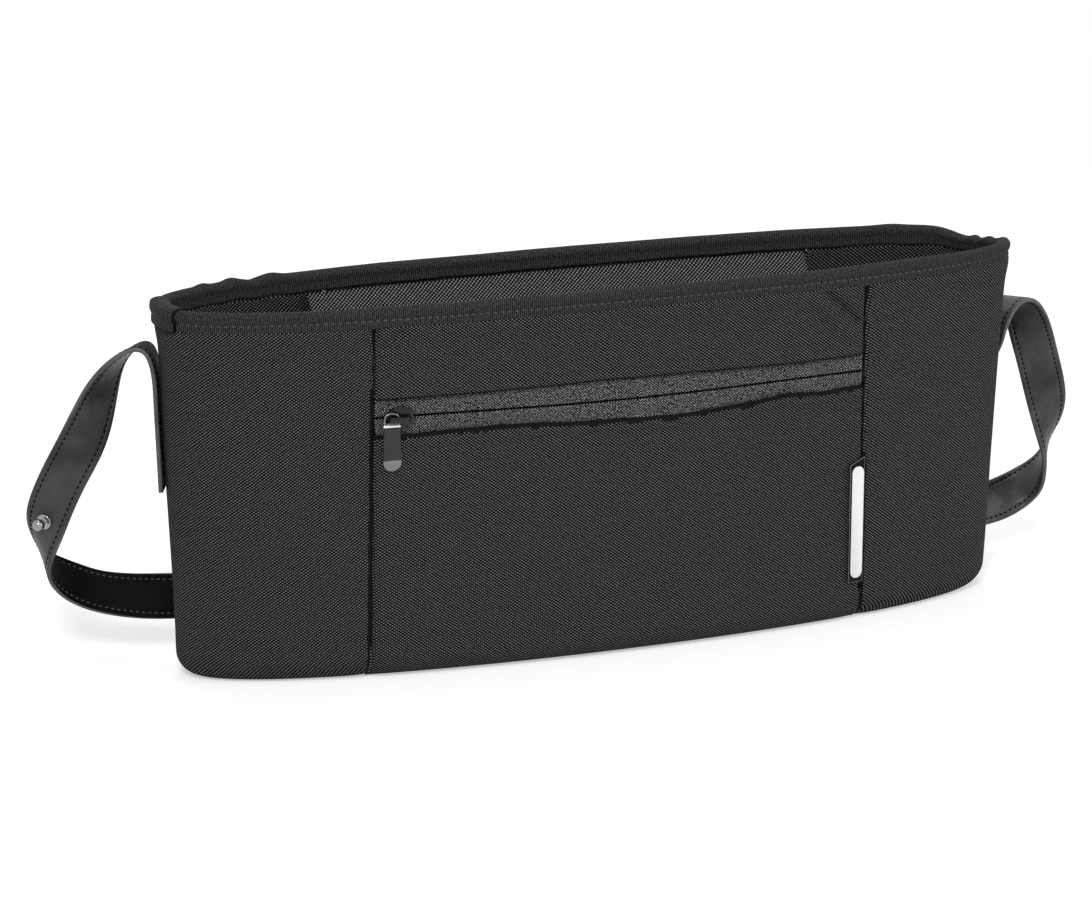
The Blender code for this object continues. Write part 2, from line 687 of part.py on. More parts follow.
def label_inlay(finish):
    """Plain pill-shaped inlay on the tab."""
    radius = INLAY_WIDTH / 2
    offset = (LABEL_WIDTH - INLAY_WIDTH) / 2

    def edges(z):
        past = max(0.0, INLAY_FROM + radius - z, z - INLAY_TO + radius)
        half = math.sqrt(max(0.0, radius**2 - past**2))
        middle = seam_x(z) - GAP - offset - radius
        return middle - half, middle + half

    ends = [radius * (1 - math.cos(math.radians(angle))) for angle in (14, 35, 60, 90)]
    levels = [(INLAY_FROM + end, 0) for end in ends]
    levels += [(blend(INLAY_FROM, INLAY_TO, 0.5), 0)]
    levels += [(INLAY_TO - end, 0) for end in ends[::-1]]
    base = -2 * GAP - LABEL_THICKNESS
    return label_patch("label_inlay", edges, (base - INLAY_THICKNESS, base), levels, finish)


def tab_point(z):
    """Where the end of the bag faces TAB_YAW behind the end, and that outward direction."""
    facing = Vector((math.cos(TAB_YAW), math.sin(TAB_YAW), 0))
    angles = np.linspace(0, 1.2, 481)
    points = [Vector(outline_point(angle, z, 0)) for angle in angles]
    return max(points, key=lambda point: point.dot(facing)), facing


def strap_stations(side, route, arch_from):
    """Middle and width direction of a strap, from its sewn tab to its end on the back panel."""
    lift = GAP + STRAP_THICKNESS / 2
    stations = []
    for z in (TAB_FROM, blend(TAB_FROM, TAB_TO, 0.5), TAB_TO, blend(TAB_TO, arch_from, 0.6), arch_from):
        point, facing = tab_point(z)
        stations.append((point + facing * lift, Vector((-facing.y, facing.x, 0))))
    top = stations[2][0]
    for offset, width in route:
        stations.append((top + Vector(offset) * STRAP_LOOP, Vector(width)))
    for x in np.linspace(BACK_TAB_FROM, BACK_TAB_TO, 5):
        slope = (wall_y(x + GAP, BACK_TAB_HEIGHT, 0) - wall_y(x - GAP, BACK_TAB_HEIGHT, 0)) / (2 * GAP)
        point = Vector((x, wall_y(x, BACK_TAB_HEIGHT, 0), BACK_TAB_HEIGHT))
        facing = Vector((-slope, 1, 0)).normalized()
        stations.append((point + facing * (lift + GAP), Vector((0, 0, -1))))
    return [(Vector((side * p.x, p.y, p.z)), Vector((side * w.x, w.y, w.z))) for p, w in stations]


def smooth_values(values, at, knots):
    """Catmull-Rom curve through values at knots, read at other places."""
    values = np.asarray(values, float)
    slopes = np.gradient(values, knots, axis=0)
    cell = np.clip(np.searchsorted(knots, at, side="right") - 1, 0, len(knots) - 2)
    span = (knots[cell + 1] - knots[cell])[:, None]
    t = ((at - knots[cell]))[:, None] / span
    first, second = values[cell], values[cell + 1]
    in_slope, out_slope = slopes[cell] * span, slopes[cell + 1] * span
    return (
        (2 * t**3 - 3 * t**2 + 1) * first
        + (t**3 - 2 * t**2 + t) * in_slope
        + (3 * t**2 - 2 * t**3) * second
        + (t**3 - t**2) * out_slope
    )


def strap_frames(side, route, arch_from, count=STRAP_SECTIONS):
    """Evenly spaced middles of a strap with its width and its inner-face direction."""
    stations = strap_stations(side, route, arch_from)
    middles = np.array([middle for middle, _ in stations])
    knots = np.concatenate([[0], np.cumsum(np.linalg.norm(np.diff(middles, axis=0), axis=1))])
    at = np.linspace(0, knots[-1], count)
    centres = smooth_values(middles, at, knots)
    widths = smooth_values([width for _, width in stations], at, knots)
    along = np.gradient(centres, axis=0)
    along /= np.linalg.norm(along, axis=1)[:, None]
    widths -= along * (widths * along).sum(1)[:, None]
    widths /= np.linalg.norm(widths, axis=1)[:, None]
    inner = np.cross(widths, along) * side
    return at, centres, widths, inner


def strap(name, frames, finish):
    """Two layers of leatherette sewn together, as one band."""
    _, centres, widths, inner = frames
    soft = STRAP_THICKNESS * 0.25
    wide, thick = STRAP_WIDTH / 2, STRAP_THICKNESS / 2
    corners = ((-wide, thick - soft), (-wide + soft, thick), (wide - soft, thick), (wide, thick - soft))
    corners += tuple((-across, -out) for across, out in corners)
    rings = []
    for centre, width, face in zip(centres, widths, inner):
        rings.append([tuple(centre + width * across + face * out) for across, out in corners])
    return loft(name, rings, finish)


def stud(name, frames, band, finish):
    """Turned ball stud riveted into the inner face of a strap."""
    at, centres, widths, inner = frames
    start = TAB_TO - TAB_FROM + STUD_AFTER_TAB
    k = int(np.searchsorted(at, start))
    face = Vector(inner[k])
    width = Vector(widths[k])
    along = face.cross(width)
    frame = Matrix((width, along, face)).transposed().to_4x4()
    frame.translation = Vector(centres[k]) + face * (STRAP_THICKNESS / 2 + GAP)
    neck = STUD_HEIGHT - 2 * STUD_BALL_RADIUS
    profile = [
        (0.0, -STUD_SHANK_LENGTH),
        (STUD_SHANK_RADIUS, -STUD_SHANK_LENGTH),
        (STUD_SHANK_RADIUS, 0.0),
        (STUD_BASE_RADIUS, 0.0),
        (STUD_BASE_RADIUS, STUD_BASE_THICKNESS * 0.6),
        (STUD_BASE_RADIUS * 0.8, STUD_BASE_THICKNESS),
        (STUD_WAIST_RADIUS * 1.2, STUD_BASE_THICKNESS * 1.1),
        (STUD_WAIST_RADIUS, neck * 0.8),
    ]
    for degrees in (-55, -30, 0, 30, 60):
        angle = math.radians(degrees)
        high = STUD_HEIGHT - STUD_BALL_RADIUS + STUD_BALL_RADIUS * math.sin(angle)
        profile.append((STUD_BALL_RADIUS * math.cos(angle), high))
    profile.append((0.0, STUD_HEIGHT))
    made = mesh_object(name, turned(profile, 20), finish)
    made.matrix_world = frame
    room = GAP
    pocket = [
        (0.0, -STUD_SHANK_LENGTH - room),
        (STUD_SHANK_RADIUS + room, -STUD_SHANK_LENGTH - room),
        (STUD_SHANK_RADIUS + room, -room),
        (STUD_BASE_RADIUS + room, -room),
        (STUD_BASE_RADIUS + room, STRAP_THICKNESS),
        (0.0, STRAP_THICKNESS),
    ]
    cutter = mesh_object(name + "_hole", turned(pocket, 20), finish, smooth=False)
    cutter.matrix_world = frame
    boolean(band, cutter, "DIFFERENCE")
    return made


def turned(profile, steps):
    """Profile of (radius, height) points spun round Z."""
    bm = bmesh.new()
    verts = [bm.verts.new((radius, 0, high)) for radius, high in profile]
    edges = [bm.edges.new(pair) for pair in zip(verts, verts[1:])]
    bmesh.ops.spin(
        bm,
        geom=verts + edges,
        cent=(0, 0, 0),
        axis=(0, 0, 1),
        angle=2 * math.pi,
        steps=steps,
        use_merge=True,
    )
    bmesh.ops.remove_doubles(bm, verts=bm.verts[:], dist=1e-6)
    return bm


def main():
    for old in list(bpy.data.objects):
        bpy.data.objects.remove(old, do_unlink=True)

    fabric = material("shell_fabric", (0.035, 0.036, 0.038), 0.9)
    inner_cloth = material("inner_cloth", (0.045, 0.046, 0.048), 0.9)
    ribbed_tape = material("ribbed_tape", (0.015, 0.015, 0.016), 0.8)
    tape = material("zip_tape", (0.05, 0.05, 0.052), 0.85)
    nylon = material("nylon_coil", (0.02, 0.02, 0.021), 0.5)
    black_metal = material("black_metal", (0.02, 0.02, 0.022), 0.25, 1.0)
    gunmetal = material("gunmetal", (0.06, 0.06, 0.065), 0.35, 1.0)
    bright_metal = material("bright_metal", (0.8, 0.8, 0.8), 0.12, 1.0)
    gloss_black = material("gloss_black", (0.01, 0.01, 0.01), 0.15)
    white_inlay = material("white_inlay", (0.85, 0.85, 0.85), 0.3)
    leatherette = material("leatherette", (0.05, 0.051, 0.053), 0.45)

    window_top = ZIP_HEIGHT + ZIP_WINDOW_UP
    window_foot = ZIP_HEIGHT - ZIP_WINDOW_DOWN
    lower_levels = EDGE_LEVELS + [blend(EDGE_RADIUS, window_foot, share) for share in (0.3, 0.65, 1)]
    middle_panel("back_panel", 1, 0, WALL, EDGE_LEVELS + WALL_LEVELS, fabric)
    middle_panel("front_upper_panel", -1, 0, PANEL, [window_top, POCKET_TOP, WALL_TOP], fabric)
    middle_panel("front_lower_panel", -1, 0, PANEL, lower_levels, fabric)
    end_panel("side_panel_left", -1, fabric)
    end_panel("side_panel_right", 1, fabric)
    base_panel(inner_cloth)
    rim_binding(ribbed_tape)
    pocket_lining(inner_cloth)
    divider("divider_left", -1, inner_cloth)
    divider("divider_right", 1, inner_cloth)
    centre_lining(inner_cloth)
    zip_tape("zip_tape_upper", 1, tape)
    zip_tape("zip_tape_lower", -1, tape)
    zip_coil("zip_coil_upper", 1, nylon)
    zip_coil("zip_coil_lower", -1, nylon)

    zip_axis = bpy.data.objects.new("zip_axis", None)
    zip_axis.location = (0, zip_radius() - wall_y(0, ZIP_HEIGHT, 0), ZIP_HEIGHT)
    bpy.context.scene.collection.objects.link(zip_axis)
    slider_at = SLIDER_START - seam_x(ZIP_HEIGHT)
    slider(zip_axis, slider_at, black_metal)
    ring = pull_ring(zip_axis, slider_at, bright_metal)
    pull_tab(ring, gunmetal)

    label_tab(gloss_black)
    label_inlay(white_inlay)
    frames = strap_frames(-1, LEFT_ROUTE, LEFT_ARCH_FROM)
    band = strap("strap_left", frames, leatherette)
    stud("stud_left", frames, band, bright_metal)
    strap("strap_right", strap_frames(1, RIGHT_ROUTE, RIGHT_ARCH_FROM), leatherette)


main()
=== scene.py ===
"""Dresses the stroller organizer: woven shell, ribbed rim, zip, inner walls, label and leatherette straps."""

from __future__ import annotations

import json
import logging
import math
from collections.abc import Callable, Sequence
from dataclasses import dataclass, field
from enum import Enum

import bmesh
import bpy
import numpy as np
from mathutils import Matrix, Vector, noise

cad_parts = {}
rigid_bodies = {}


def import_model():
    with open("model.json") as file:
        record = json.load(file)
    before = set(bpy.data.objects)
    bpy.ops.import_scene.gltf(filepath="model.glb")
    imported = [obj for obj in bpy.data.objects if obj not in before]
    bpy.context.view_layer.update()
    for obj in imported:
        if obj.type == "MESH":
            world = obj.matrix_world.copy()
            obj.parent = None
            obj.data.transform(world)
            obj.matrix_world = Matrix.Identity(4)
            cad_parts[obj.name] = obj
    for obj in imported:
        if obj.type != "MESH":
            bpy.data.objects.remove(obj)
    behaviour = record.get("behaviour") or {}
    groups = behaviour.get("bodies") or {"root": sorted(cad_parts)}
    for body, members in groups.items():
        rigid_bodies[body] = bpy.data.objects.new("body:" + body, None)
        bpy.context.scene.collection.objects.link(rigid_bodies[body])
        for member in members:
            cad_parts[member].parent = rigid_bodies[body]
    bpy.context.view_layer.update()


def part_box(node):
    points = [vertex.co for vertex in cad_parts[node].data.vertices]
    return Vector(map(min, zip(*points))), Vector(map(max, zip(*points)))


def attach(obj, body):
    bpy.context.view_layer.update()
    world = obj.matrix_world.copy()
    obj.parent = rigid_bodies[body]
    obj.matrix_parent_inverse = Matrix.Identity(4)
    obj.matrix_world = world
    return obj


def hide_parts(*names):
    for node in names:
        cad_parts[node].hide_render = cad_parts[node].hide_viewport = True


LOG = logging.getLogger("organizer")

Row = Callable[[float], tuple[np.ndarray, np.ndarray]]

CLOTH_MAP = "cloth"
SEAM_LEVEL = 0.09
EDGE_SLOT = 1
SHADE_AND_SEAM_SLOT = 2
PAINTED_SHADE_SLOT = 2
MERGE = 1e-7


class Side(Enum):
    """Which end or face of the bag a piece belongs to."""

    LEFT = -1
    RIGHT = 1


class Node(Enum):
    """Shader nodes that the finishes are wired from."""

    COORDS = "ShaderNodeTexCoord"
    UV = "ShaderNodeUVMap"
    NOISE = "ShaderNodeTexNoise"
    VORONOI = "ShaderNodeTexVoronoi"
    MATH = "ShaderNodeMath"
    MIX = "ShaderNodeMix"
    RAMP = "ShaderNodeMapRange"
    BUMP = "ShaderNodeBump"
    SPLIT = "ShaderNodeSeparateXYZ"


class Wiring:
    """A material's node tree with short calls for the nodes that the finishes use."""

    def __init__(self, name: str) -> None:
        """Starts a material with a Principled shader.

        Args:
            name: name of the new material.
        """
        self.material = bpy.data.materials.new(name)
        self.material.use_nodes = True
        self.tree = self.material.node_tree
        self.shader = self.tree.nodes["Principled BSDF"]

    def add(self, kind: Node, **settings: object) -> bpy.types.Node:
        """Adds a node and sets its properties.

        Args:
            kind: which node.
            settings: properties of the node by name.

        Returns:
            The new node.
        """
        node = self.tree.nodes.new(kind.value)
        for key, value in settings.items():
            setattr(node, key, value)
        return node

    def link(self, source: bpy.types.NodeSocket, target: bpy.types.NodeSocket) -> None:
        """Joins two sockets."""
        self.tree.links.new(source, target)

    def math(self, operation: str, first: object, second: object = 0.0) -> bpy.types.NodeSocket:
        """Works out one sum of two values.

        Args:
            operation: name of the Math node's operation.
            first: socket or number.
            second: socket or number.

        Returns:
            The result's socket.
        """
        node = self.add(Node.MATH, operation=operation)
        for socket, value in zip(node.inputs, (first, second)):
            if isinstance(value, (int, float)):
                socket.default_value = value
            else:
                self.link(value, socket)
        return node.outputs[0]

    def noise(self, vector: bpy.types.NodeSocket, scale: float, detail: float = 2.0) -> bpy.types.NodeSocket:
        """Adds noise.

        Args:
            vector: where it is read.
            scale: waves per metre.
            detail: octaves.

        Returns:
            The noise's value.
        """
        node = self.add(Node.NOISE)
        node.inputs["Scale"].default_value = scale
        node.inputs["Detail"].default_value = detail
        self.link(vector, node.inputs["Vector"])
        return node.outputs["Fac"]

    def spread(self, value: bpy.types.NodeSocket, low: float, high: float) -> bpy.types.NodeSocket:
        """Stretches a value so that low becomes 0 and high becomes 1."""
        node = self.add(Node.RAMP)
        node.inputs["From Min"].default_value = low
        node.inputs["From Max"].default_value = high
        self.link(value, node.inputs["Value"])
        return node.outputs["Result"]

    def colour(self, share: bpy.types.NodeSocket, low: tuple, high: tuple) -> bpy.types.NodeSocket:
        """Mixes two colours.

        Args:
            share: 0 for the first colour, 1 for the second.
            low: first colour.
            high: second colour.

        Returns:
            The mixed colour.
        """
        node = self.add(Node.MIX, data_type="RGBA")
        self.link(share, node.inputs["Factor"])
        node.inputs[6].default_value = (*low, 1)
        node.inputs[7].default_value = (*high, 1)
        return node.outputs[2]

    def relief(self, height: bpy.types.NodeSocket, distance: float, strength: float = 1.0) -> None:
        """Turns a height into the shader's bump.

        Args:
            height: value from 0 to 1.
            distance: depth of the relief in metres.
            strength: share of it that shows.
        """
        node = self.add(Node.BUMP)
        node.inputs["Strength"].default_value = strength
        node.inputs["Distance"].default_value = distance
        self.link(height, node.inputs["Height"])
        self.link(node.outputs["Normal"], self.shader.inputs["Normal"])


@dataclass(frozen=True)
class WovenCloth:
    """Cloth of crossing threads, read from the piece's own cloth map in metres."""

    name: str
    slot: str
    across: float
    along: float
    low: tuple[float, float, float]
    high: tuple[float, float, float]
    lean: float = 1.0
    roughness: float = 0.9
    sheen: float = 0.008
    depth: float = 0.00030
    twill: float = 0.16
    mottle: float = 0.45

    def build(self) -> bpy.types.Material:
        """Makes the material: light floats of weft between dark warp, with slubs and a twill line."""
        wires = Wiring(self.name)
        place = wires.add(Node.UV, uv_map=CLOTH_MAP)
        split = wires.add(Node.SPLIT)
        wires.link(place.outputs["UV"], split.inputs["Vector"])
        slub = wires.math("SUBTRACT", wires.noise(place.outputs["UV"], 420, 2), 0.5)
        drift = wires.math("SUBTRACT", wires.noise(place.outputs["UV"], 35, 1), 0.5)
        wobble = wires.math("ADD", wires.math("MULTIPLY", slub, 1.6), wires.math("MULTIPLY", drift, 4.0))
        warp = wires.math("ADD", wires.math("MULTIPLY", split.outputs["X"], 2 * math.pi / self.across), wobble)
        weft = wires.math("ADD", wires.math("MULTIPLY", split.outputs["Y"], 2 * math.pi / self.along), wobble)
        plain = wires.math("MULTIPLY", wires.math("COSINE", warp), wires.math("COSINE", weft))
        line = wires.math("COSINE", wires.math("ADD", warp, wires.math("MULTIPLY", weft, self.lean)))
        threads = wires.math(
            "ADD", wires.math("MULTIPLY", plain, 1 - self.twill), wires.math("MULTIPLY", line, self.twill)
        )
        height = wires.spread(threads, -0.9, 0.9)
        fuzz = wires.math("SUBTRACT", wires.noise(place.outputs["UV"], 1500, 1), 0.5)
        light = wires.spread(wires.math("ADD", height, wires.math("MULTIPLY", fuzz, self.mottle)), 0.52, 0.95)
        wires.link(wires.colour(light, self.low, self.high), wires.shader.inputs["Base Color"])
        wires.shader.inputs["Roughness"].default_value = self.roughness
        wires.shader.inputs["Sheen Weight"].default_value = self.sheen
        wires.shader.inputs["Sheen Roughness"].default_value = 0.5
        wires.shader.inputs["Specular IOR Level"].default_value = 0.03
        wires.relief(height, self.depth)
        return wires.material


@dataclass(frozen=True)
class RibbedTape:
    """Grosgrain: ribs across the tape's length."""

    name: str
    slot: str
    rib: float
    low: tuple[float, float, float]
    high: tuple[float, float, float]
    roughness: float = 0.7
    depth: float = 0.00018

    def build(self) -> bpy.types.Material:
        """Makes the material with ribs along the cloth map's first direction."""
        wires = Wiring(self.name)
        place = wires.add(Node.UV, uv_map=CLOTH_MAP)
        split = wires.add(Node.SPLIT)
        wires.link(place.outputs["UV"], split.inputs["Vector"])
        warp = wires.noise(place.outputs["UV"], 500, 2)
        wobble = wires.math("MULTIPLY", wires.math("SUBTRACT", warp, 0.5), self.rib * 0.7)
        across = wires.math("ADD", split.outputs["X"], wobble)
        ribs = wires.math("COSINE", wires.math("MULTIPLY", across, 2 * math.pi / self.rib))
        height = wires.spread(ribs, -1, 1)
        patchy = wires.noise(place.outputs["UV"], 900, 3)
        light = wires.math("MULTIPLY", height, wires.spread(patchy, 0.2, 0.75))
        wires.link(wires.colour(light, self.low, self.high), wires.shader.inputs["Base Color"])
        wires.shader.inputs["Roughness"].default_value = self.roughness
        wires.shader.inputs["Sheen Weight"].default_value = 0.008
        wires.shader.inputs["Specular IOR Level"].default_value = 0.06
        wires.relief(height, self.depth)
        return wires.material


@dataclass(frozen=True)
class Leatherette:
    """Grained leatherette with a soft sheen."""

    name: str
    slot: str
    low: tuple[float, float, float]
    high: tuple[float, float, float]
    roughness: float = 0.42
    grain: float = 1500.0
    gloss: float = 0.35

    def build(self) -> bpy.types.Material:
        """Makes the material: pebbled grain, faint clouding and creases."""
        wires = Wiring(self.name)
        place = wires.add(Node.COORDS)
        pebbles = wires.add(Node.VORONOI, feature="SMOOTH_F1")
        pebbles.inputs["Scale"].default_value = self.grain
        wires.link(place.outputs["Object"], pebbles.inputs["Vector"])
        cloud = wires.noise(place.outputs["Object"], 60, 3)
        wires.link(
            wires.colour(wires.spread(cloud, 0.3, 0.7), self.low, self.high),
            wires.shader.inputs["Base Color"],
        )
        fine = wires.noise(place.outputs["Object"], 420, 3)
        folds = wires.math("ABSOLUTE", wires.math("SUBTRACT", wires.noise(place.outputs["Object"], 130, 4), 0.5))
        grainy = wires.math("ADD", wires.math("MULTIPLY", pebbles.outputs["Distance"], 0.5), fine)
        height = wires.math("ADD", grainy, wires.math("MULTIPLY", folds, 5.0))
        shine = wires.add(Node.RAMP)
        shine.inputs["To Min"].default_value = self.roughness - 0.06
        shine.inputs["To Max"].default_value = self.roughness + 0.08
        wires.link(cloud, shine.inputs["Value"])
        wires.link(shine.outputs["Result"], wires.shader.inputs["Roughness"])
        wires.shader.inputs["Specular IOR Level"].default_value = self.gloss
        wires.relief(height, 0.00016, 0.9)
        return wires.material


@dataclass(frozen=True)
class Hard:
    """Metal, plastic or thread: one colour with fine wear in its gloss."""

    name: str
    slot: str
    colour: tuple[float, float, float]
    roughness: float
    metallic: float = 0.0
    coat: float = 0.0
    scuff: float = 0.06
    gloss: float = 0.5
    wear: float = 0.86

    def build(self) -> bpy.types.Material:
        """Makes the material with small scuffs in its roughness."""
        wires = Wiring(self.name)
        place = wires.add(Node.COORDS)
        marks = wires.noise(place.outputs["Object"], 700, 4)
        gloss = wires.add(Node.RAMP)
        gloss.inputs["From Min"].default_value = 0.3
        gloss.inputs["From Max"].default_value = 0.7
        gloss.inputs["To Min"].default_value = max(0.02, self.roughness - self.scuff)
        gloss.inputs["To Max"].default_value = self.roughness + self.scuff
        wires.link(marks, gloss.inputs["Value"])
        wires.link(gloss.outputs["Result"], wires.shader.inputs["Roughness"])
        tint = wires.noise(place.outputs["Object"], 240, 2)
        darker = tuple(channel * self.wear for channel in self.colour)
        wires.link(
            wires.colour(wires.spread(tint, 0.3, 0.7), darker, self.colour),
            wires.shader.inputs["Base Color"],
        )
        wires.shader.inputs["Metallic"].default_value = self.metallic
        wires.shader.inputs["Coat Weight"].default_value = self.coat
        wires.shader.inputs["Specular IOR Level"].default_value = self.gloss
        return wires.material


Finish = WovenCloth | RibbedTape | Leatherette | Hard

SHELL_CLOTH = WovenCloth(
    "shell_cloth", "shell_fabric", 0.00195, 0.00142, (0.0002, 0.0002, 0.0002), (0.205, 0.205, 0.207)
)
INNER_CLOTH = WovenCloth(
    "inner_cloth", "inner_cloth", 0.00200, 0.00146, (0.0006, 0.0006, 0.0006), (0.330, 0.330, 0.334), lean=-1.0
)
DARK_LINING = WovenCloth(
    "dark_lining", "inner_cloth", 0.00220, 0.00165, (0.0004, 0.0004, 0.0004), (0.165, 0.165, 0.167), lean=-1.0
)
ZIP_CLOTH = WovenCloth(
    "zip_cloth",
    "zip_tape",
    0.00150,
    0.00125,
    (0.004, 0.004, 0.004),
    (0.330, 0.330, 0.333),
    twill=0.1,
    mottle=2.4,
    depth=0.00018,
)
RIM_TAPE = RibbedTape("rim_tape", "ribbed_tape", 0.00095, (0.0015, 0.0015, 0.0015), (0.118, 0.118, 0.119))
# Near-black cloth: painted shade along the front panels' hems, and the dark colour of the seam lines.
HEM_SHADE_AND_SEAM_CLOTH = RibbedTape("hem_cloth", "shell_fabric", 0.0008, (0.001, 0.001, 0.001), (0.022, 0.022, 0.022))
STRAP_SKIN = Leatherette("strap_skin", "leatherette", (0.007, 0.008, 0.0075), (0.052, 0.057, 0.055), 0.40)
# Near-black leatherette for the left strap's outer face: painted shade standing for the shadow on its lower run.
STRAP_PAINTED_SHADE = Leatherette(
    "strap_back", "leatherette", (0.0010, 0.0010, 0.0010), (0.002, 0.002, 0.002), 0.55, gloss=0.05
)
# Lighter edge colour: the strap's edge paint, raised further as a painted highlight along the glossy edges.
STRAP_EDGE_PAINT_AND_HIGHLIGHT = Leatherette("strap_edge", "leatherette", (0.050, 0.051, 0.051), (0.110, 0.111, 0.113), 0.38, 900.0)
SEWING_THREAD = Hard("sewing_thread", "leatherette", (0.0008, 0.0008, 0.0010), 0.85, gloss=0.05)
PALE_THREAD = Hard("pale_thread", "leatherette", (0.055, 0.055, 0.056), 0.6)
RIM_THREAD = Hard("rim_thread", "ribbed_tape", (0.095, 0.095, 0.096), 0.7, gloss=0.1)
DARK_THREAD = Hard("dark_thread", "ribbed_tape", (0.002, 0.002, 0.002), 0.7)
NYLON = Hard("nylon_coil", "nylon_coil", (0.004, 0.004, 0.004), 0.5)
BLACK_METAL = Hard("black_metal", "black_metal", (0.005, 0.005, 0.0055), 0.26, 0.0, 0.05, gloss=0.35)
# Lighter colour on the slider's bevel faces: painted highlight along its edges.
SLIDER_EDGE_HIGHLIGHT = Hard("worn_edge", "black_metal", (0.26, 0.26, 0.265), 0.24, 0.6, scuff=0.1)
GUNMETAL = Hard("gunmetal", "gunmetal", (0.024, 0.024, 0.025), 0.42, 0.0, gloss=0.35)
POLISHED_BAR = Hard("polished_bar", "bright_metal", (0.85, 0.85, 0.86), 0.18, 0.6)
GROUND_TIP = Hard("ground_tip", "gunmetal", (0.215, 0.215, 0.220), 0.40, 0.4, scuff=0.12)
RING_STEEL = Hard("ring_steel", "bright_metal", (0.20, 0.20, 0.205), 0.22, 1.0)
BRIGHT_METAL = Hard("bright_metal", "bright_metal", (0.30, 0.30, 0.31), 0.12, 1.0, scuff=0.05)
GLOSS_BLACK = Hard("gloss_black", "gloss_black", (0.003, 0.003, 0.0035), 0.16, 0.0, 0.05, gloss=0.08)
# Lighter colour on the label tab's bevel faces: painted highlight along its edges.
LABEL_EDGE_HIGHLIGHT = Hard("gloss_edge", "gloss_black", (0.12, 0.12, 0.122), 0.2, 0.0, 0.2)
WHITE_INLAY = Hard("white_inlay", "white_inlay", (0.95, 0.95, 0.95), 0.3, scuff=0.0, wear=0.985)


class Palette:
    """Each finish's material, made once."""

    def __init__(self) -> None:
        """Starts with no materials."""
        self.made: dict[str, bpy.types.Material] = {}

    def get(self, finish: Finish) -> bpy.types.Material:
        """The material of a finish, made on its first use."""
        if finish.name not in self.made:
            self.made[finish.name] = finish.build()
        return self.made[finish.name]


PALETTE = Palette()


def paint(piece: bpy.types.Object, *finishes: Finish) -> None:
    """Adds the materials of some finishes to a piece, in order."""
    for finish in finishes:
        piece.data.materials.append(PALETTE.get(finish))


def add_object(name: str, data: bpy.types.ID) -> bpy.types.Object:
    """Adds an object to the scene at the origin."""
    made = bpy.data.objects.new(name, data)
    bpy.context.scene.collection.objects.link(made)
    return made


def lengths(points: np.ndarray) -> np.ndarray:
    """Length along a line of points, from 0 at the first."""
    return np.concatenate([[0], np.cumsum(np.linalg.norm(np.diff(points, axis=0), axis=1))])


def clamp(value: float) -> float:
    """A value held between 0 and 1."""
    return min(1.0, max(0.0, value))


def settle(piece: bpy.types.Object, finish: Finish, body: str, nodes: Sequence[str] = ()) -> bpy.types.Object:
    """Gives a finished piece its material, its body and the solids it stands for.

    Args:
        piece: the finished object.
        finish: its main finish.
        body: moving body it rides on.
        nodes: solids that it replaces.

    Returns:
        The same object.
    """
    if not piece.data.materials:
        paint(piece, finish)
    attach(piece, body)
    if nodes:
        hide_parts(*nodes)
    LOG.info("%s rides on %s, %d faces", piece.name, body, len(getattr(piece.data, "polygons", ())))
    return piece


def publish(name: str, bm: bmesh.types.BMesh, smooth: bool = True) -> bpy.types.Object:
    """Links a mesh to the scene.

    Args:
        name: the piece's name.
        bm: its mesh, freed here.
        smooth: whether it is shaded smooth.

    Returns:
        The new object at the origin.
    """
    mesh = bpy.data.meshes.new(name)
    bm.to_mesh(mesh)
    bm.free()
    if smooth:
        mesh.shade_smooth()
    return add_object(name, mesh)


def drape_grid(
    name: str,
    columns: int,
    rows: int,
    row: Row,
    ring: bool = False,
    tube: bool = False,
    inside_out: bool = False,
) -> bpy.types.Object:
    """Lays a grid on a curved surface, one row of points at a time.

    Args:
        name: the piece's name.
        columns: faces along a row.
        rows: faces from the first row to the last.
        row: gives the points and the cloth coordinates of the row at a share from 0 to 1.
        ring: whether the last row meets the first.
        tube: whether each row closes on itself.
        inside_out: whether the faces must be turned round.

    Returns:
        The new object, with its cloth map in metres.
    """
    bm = bmesh.new()
    bmesh.ops.create_grid(bm, x_segments=columns, y_segments=rows, size=0.5)
    cloth = bm.loops.layers.uv.new(CLOTH_MAP)
    table = [row(j / rows) for j in range(rows + 1)]
    bm.verts.index_update()
    spots = [(round((v.co.x + 0.5) * columns), round((v.co.y + 0.5) * rows)) for v in bm.verts]
    for face in bm.faces:
        for loop in face.loops:
            i, j = spots[loop.vert.index]
            loop[cloth].uv = table[j][1][i]
    for vert in bm.verts:
        i, j = spots[vert.index]
        vert.co = table[j][0][i]
    if ring or tube:
        bmesh.ops.remove_doubles(bm, verts=bm.verts[:], dist=MERGE)
    if ring and tube:
        bmesh.ops.recalc_face_normals(bm, faces=bm.faces[:])
    elif inside_out:
        bmesh.ops.reverse_faces(bm, faces=bm.faces[:])
    return publish(name, bm)


def fix_order(bm: bmesh.types.BMesh) -> None:
    """Puts a turned mesh's points and faces in an order that is the same in each run."""
    points = sorted(bm.verts, key=lambda vert: tuple(round(value, 8) for value in vert.co))
    bm.verts.sort(key={vert: place for place, vert in enumerate(points)}.get)
    bm.verts.index_update()
    faces = sorted(bm.faces, key=lambda face: sorted(vert.index for vert in face.verts))
    bm.faces.sort(key={face: place for place, face in enumerate(faces)}.get)


def close_ends(piece: bpy.types.Object) -> None:
    """Fills the open ends of a tube."""
    bm = bmesh.new()
    bm.from_mesh(piece.data)
    bmesh.ops.holes_fill(bm, edges=[edge for edge in bm.edges if edge.is_boundary])
    bmesh.ops.recalc_face_normals(bm, faces=bm.faces[:])
    bm.to_mesh(piece.data)
    bm.free()


